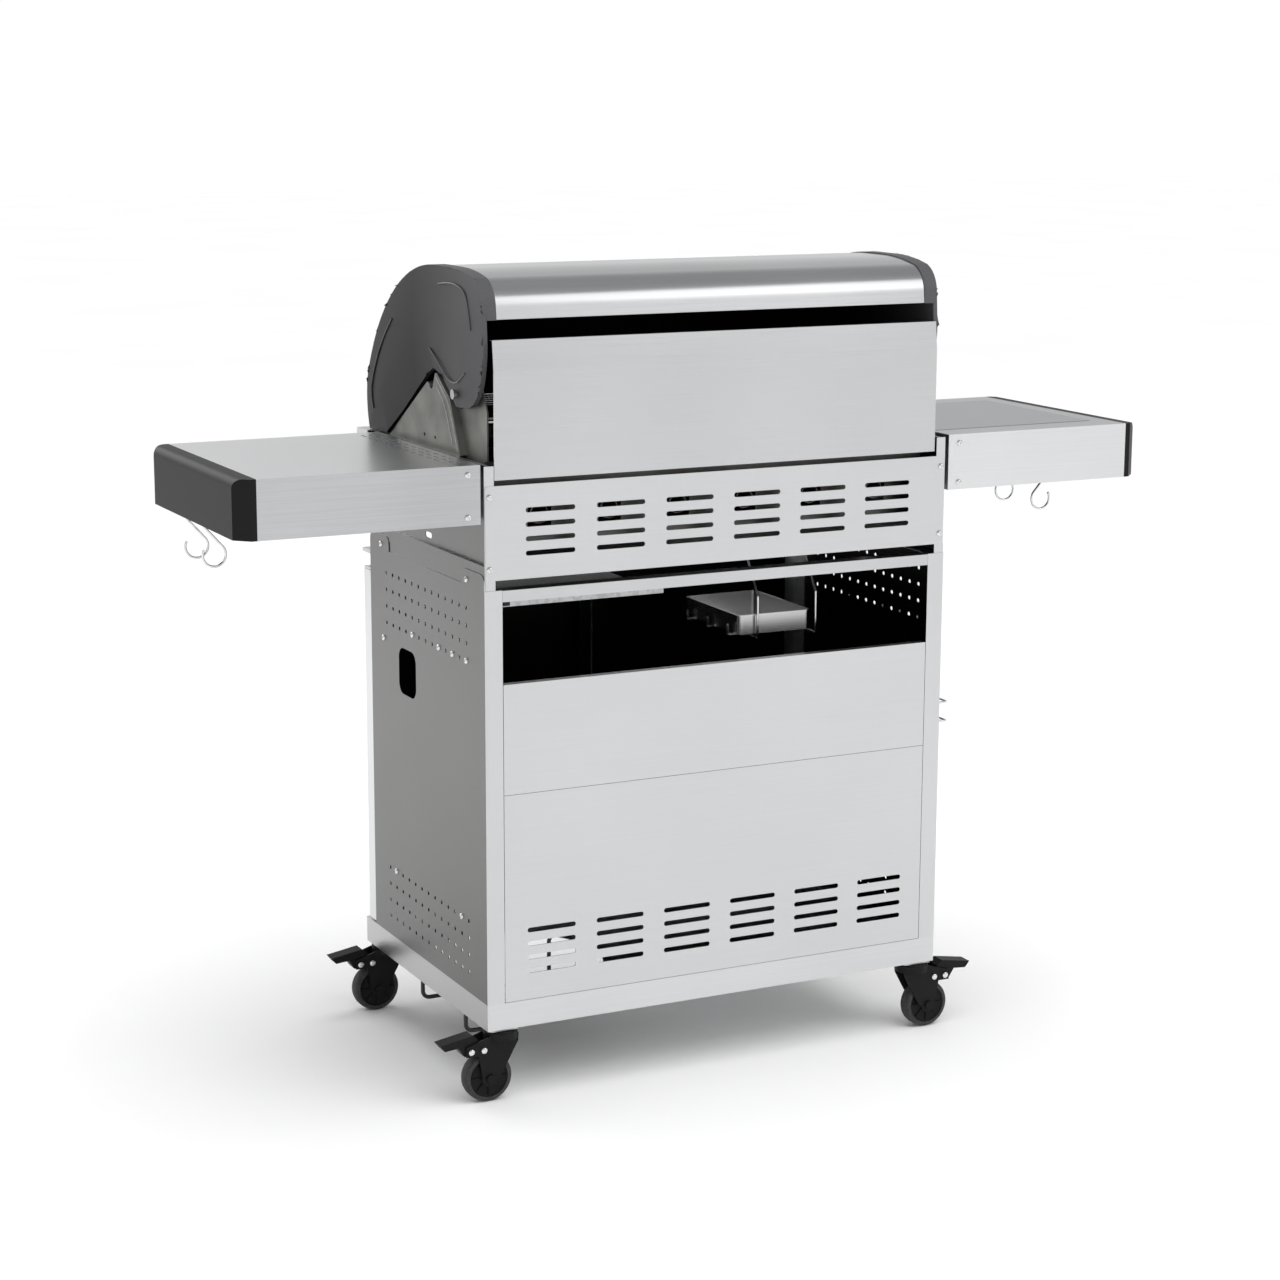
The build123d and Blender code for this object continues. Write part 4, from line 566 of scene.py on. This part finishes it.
lining_inset = 0.0052
profile = [(pivot_y - 0.3620, pivot_z - 0.0860), (pivot_y - 0.3705, pivot_z - 0.0500)]
profile += list(lid_arc(0.3108 - lining_inset, 159, 90, 28))
for y, z in ((-0.0245, 0.1866), (0.018, 0.1835), (0.0535, 0.1768)):
    profile.append((pivot_y + y, pivot_z + z - lining_inset))
profile.append((pivot_y + 0.0795, pivot_z + 0.158))
profile += [(pivot_y + 0.0890, pivot_z + 0.134), (pivot_y + 0.0905, pivot_z + 0.1185)]
lining = bmesh.new()
rows = [[lining.verts.new((x, y, z)) for y, z in profile] for x in (skin_low_corner[0], skin_high_corner[0])]
for k in range(len(profile) - 1):
    lining.faces.new((rows[0][k], rows[1][k], rows[1][k + 1], rows[0][k + 1]))
lining_piece = finish_mesh("lid_lining", lining, lid_shade_lining, 60)
thickness = lining_piece.modifiers.new("sheet", "SOLIDIFY")
thickness.thickness = 0.0008
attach(lining_piece, "lid")


def bead(name, points, x, radius, material, body):
    """A raised line along a smooth route on an end face; points are (y, z)."""
    curve = bpy.data.curves.new(name, "CURVE")
    curve.dimensions = "3D"
    curve.bevel_depth = radius
    curve.bevel_resolution = 3
    curve.use_fill_caps = True
    spline = curve.splines.new("NURBS")
    spline.points.add(len(points) - 1)
    for point, (y, z) in zip(spline.points, points):
        point.co = (x, y, z, 1)
    spline.order_u = 3
    spline.use_endpoint_u = True
    curve.resolution_u = 12
    curve.materials.append(material)
    piece = bpy.data.objects.new(name, curve)
    scene.collection.objects.link(piece)
    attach(piece, body)
    return piece


cap_lines = {
    "front": [(-255, 92), (-300, 55), (-338, 0), (-352, -35), (-340, -58)],
    "rear": [(-62, 160), (-20, 166), (30, 160), (52, 140), (60, 100)],
    "boss": [(-100, 60), (-72, 46), (-42, 27), (-20, 17), (0, 16), (18, 22), (38, 35)],
}


crown_rise = 0.0045
crown_reach = 0.09
rim_round = 0.003
cap_line_x = 0.3942


def crowned_caps():
    """The CAD caps with their flat outer faces crowned a little and rounded at the rim."""
    mesh = bmesh.new()
    mesh.from_mesh(nodes["lid_end_caps"].data)
    bmesh.ops.remove_doubles(mesh, verts=mesh.verts, dist=1e-6)
    outer_x = max(v.co.x for v in mesh.verts)
    rim = [e for e in mesh.edges if all(v.co.x > outer_x - 1e-5 for v in e.verts)]
    rim = [e for e in rim if any(abs(f.normal.x) < 0.5 for f in e.link_faces)]
    segments = [(e.verts[0].co.yz.copy(), e.verts[1].co.yz.copy()) for e in rim]
    segments = [(a, b) for a, b in segments if (a - Vector((pivot_y, pivot_z))).length > 0.006]
    low_corner, high_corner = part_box("lid_end_caps")
    for axis, pitch in ((1, 0.008), (2, 0.008)):
        at = low_corner[axis] + pitch
        while at < high_corner[axis]:
            normal = Vector([float(k == axis) for k in range(3)])
            point = Vector([at * float(k == axis) for k in range(3)])
            parts = list(mesh.verts) + list(mesh.edges) + list(mesh.faces)
            bmesh.ops.bisect_plane(mesh, geom=parts, plane_co=point, plane_no=normal, dist=1e-6)
            at += pitch
    for vert in mesh.verts:
        if abs(vert.co.x) > outer_x - 1e-5:
            spot = vert.co.yz
            gap = min(distance_to(spot, a, b) for a, b in segments)
            crown = crown_rise * (1 - min(gap / crown_reach, 1)) ** 2
            vert.co.x -= math.copysign(crown, vert.co.x)
    return finish_mesh("lid_caps_crowned", mesh, powder, 25)


def distance_to(spot, a, b):
    along = b - a
    share = max(0.0, min(1.0, (spot - a).dot(along) / max(along.length_squared, 1e-12)))
    return (spot - a - along * share).length


caps = crowned_caps()
soften = caps.modifiers.new("rim", "BEVEL")
soften.width, soften.segments = rim_round, 3
soften.limit_method, soften.angle_limit = "ANGLE", math.radians(50)
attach(caps, "lid")
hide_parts("lid_end_caps")
# Painted highlight: the beads are painted lighter than the caps, standing in for the light along the pressed
# lines.
cap_line_highlight_paint, shader, metres = finish_of("charcoal_powder_coat_painted_highlight", 0.0, 0.36)
edge_speck = grain(cap_line_highlight_paint, metres, 0.0016, 3.0)
link(cap_line_highlight_paint, two_tones(cap_line_highlight_paint, edge_speck, "#3C3C3E", "#4A4A4C"), shader.inputs["Base Color"])
for side in (1, -1):
    for line, points in cap_lines.items():
        route = [(pivot_y + y / 1000, pivot_z + z / 1000) for y, z in points]
        name = f"cap_{line}_line_{'right' if side > 0 else 'left'}"
        bead(name, route, side * cap_line_x, 0.0012, cap_line_highlight_paint, "lid")

# ---- Ribs of the firebox end walls ----
# Raised ribs cast along the rear slope of each spit support, painted bright along their length as a painted
# highlight.
rib_highlight_metal, shader, metres = finish_of("die_cast_rib_painted_highlight", 0.9, 0.35)
rib_highlight_grain = grain(rib_highlight_metal, metres, 0.004, 3.0)
link(rib_highlight_metal, two_tones(rib_highlight_metal, rib_highlight_grain, "#9C9C99", "#BDBDBA"), shader.inputs["Base Color"])
rib_line_x = 0.3885
rib_routes = {
    "upper": [(-90, 19), (-84, 14), (-60, -2), (-40, -16), (-22, -50), (-5, -88)],
    "lower": [(-84, 2), (-70, -8), (-56, -20), (-40, -48), (-26, -78)],
}
for side in (1, -1):
    for rib_name, points in rib_routes.items():
        route = [(pivot_y + y / 1000, pivot_z + z / 1000) for y, z in points]
        name = f"end_rib_{rib_name}_{'right' if side > 0 else 'left'}"
        bead(name, route, side * rib_line_x, 0.0011, rib_highlight_metal, "root")

# ---- Lid thermometer ----
# A turned steel housing with a printed dial and no glass; the needle rests on the cold mark.
tilt_out = math.radians(152)
gauge_out = Vector((0, math.cos(tilt_out), math.sin(tilt_out)))
gauge_points = [v.co for v in nodes["lid_thermometer"].data.vertices]
gauge_front = max(co.dot(gauge_out) for co in gauge_points)
rim = [co for co in gauge_points if co.dot(gauge_out) > gauge_front - 0.0002]
gauge_centre = sum(rim, Vector()) / len(rim)
gauge_centre.x = 0
dial_paint, shader, metres = finish_of("printed_dial", 0.0, 0.5)
dial_tone = grain(dial_paint, metres, 0.004)
link(dial_paint, two_tones(dial_paint, dial_tone, "#E9E9E6", "#F2F2EF"), shader.inputs["Base Color"])
dial_ink, shader, metres = finish_of("dial_ink", 0.0, 0.5)
ink_tone = grain(dial_ink, metres, 0.003)
link(dial_ink, two_tones(dial_ink, ink_tone, "#101010", "#1B1B1B"), shader.inputs["Base Color"])
base = gauge_centre
bezel_outline = [
    (-0.0005, 0.0375), (0.0, 0.0379), (0.0015, 0.0372), (0.0022, 0.035),
    (0.0016, 0.033), (0.0002, 0.0322), (-0.0005, 0.0322),
]
ring = lathe("gauge_bezel", bezel_outline, base, gauge_out, nickel, 72)
dial_outline = [(0, 0), (0, 0.0328), (0.0003, 0.0328), (0.0003, 0)]
dial = lathe("gauge_dial", dial_outline, base, gauge_out, dial_paint, 64)
marks = bmesh.new()
upright = Vector((0, 0, 1)) - gauge_out * gauge_out.z
upright.normalize()
across = upright.cross(gauge_out)
dial_frame = Matrix.Translation(base) @ Matrix((across, upright, gauge_out)).transposed().to_4x4()
for k in range(25):
    angle = math.radians(225 - 270 * k / 24)
    long_mark = k % 4 == 0
    size = (0.006, 0.0011, 0.0002) if long_mark else (0.0035, 0.0006, 0.0002)
    bar = bmesh.ops.create_cube(marks, size=1.0)["verts"]
    place = dial_frame @ Matrix.Rotation(angle, 4, "Z")
    place = place @ Matrix.Translation((0.0295 - size[0] / 2, 0, 0.0004))
    bmesh.ops.transform(marks, matrix=place @ Matrix.Diagonal((*size, 1)), verts=bar)
needle = bmesh.ops.create_cube(marks, size=1.0)["verts"]
place = dial_frame @ Matrix.Rotation(math.radians(225), 4, "Z") @ Matrix.Translation((0.0085, 0, 0.0009))
bmesh.ops.transform(marks, matrix=place @ Matrix.Diagonal((0.027, 0.0014, 0.0003, 1)), verts=needle)
mark_piece = finish_mesh("gauge_marks", marks, dial_ink)
for piece in (ring, dial, mark_piece):
    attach(piece, "lid")

# ---- Pointer lines on the knobs ----
# A filled white line on each knob's ridge shows where it stands.
enamel_fill, shader, metres = finish_of("white_enamel_fill", 0.0, 0.4)
fill_tone = grain(enamel_fill, metres, 0.002)
link(enamel_fill, two_tones(enamel_fill, fill_tone, "#DADAD8", "#EDEDEB"), shader.inputs["Base Color"])
knob_names = [f"knob_{n}" for n in range(1, 7)] + ["side_burner_knob"]
for name in knob_names:
    joint = next(j for j in frame["joints"] if j["child"] == name)
    out = Vector(joint["axis"]).normalized()
    points = [v.co for v in nodes[name].data.vertices]
    front = max(co.dot(out) for co in points)
    seat = Vector(joint["pos_m"])
    top = seat + out * (front - seat.dot(out))
    up = (Vector((0, 0, 1)) - out * out.z).normalized()
    knob_frame = Matrix.Translation(top) @ Matrix((up.cross(out), up, out)).transposed().to_4x4()
    line = bmesh.new()
    bar = bmesh.ops.create_cube(line, size=1.0)["verts"]
    place = knob_frame @ Matrix.Translation((0, 0.014, -0.0002)) @ Matrix.Diagonal((0.0022, 0.014, 0.001, 1))
    bmesh.ops.transform(line, matrix=place, verts=bar)
    pointer = finish_mesh(f"{name}_pointer", line, enamel_fill)
    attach(pointer, name)

low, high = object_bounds()
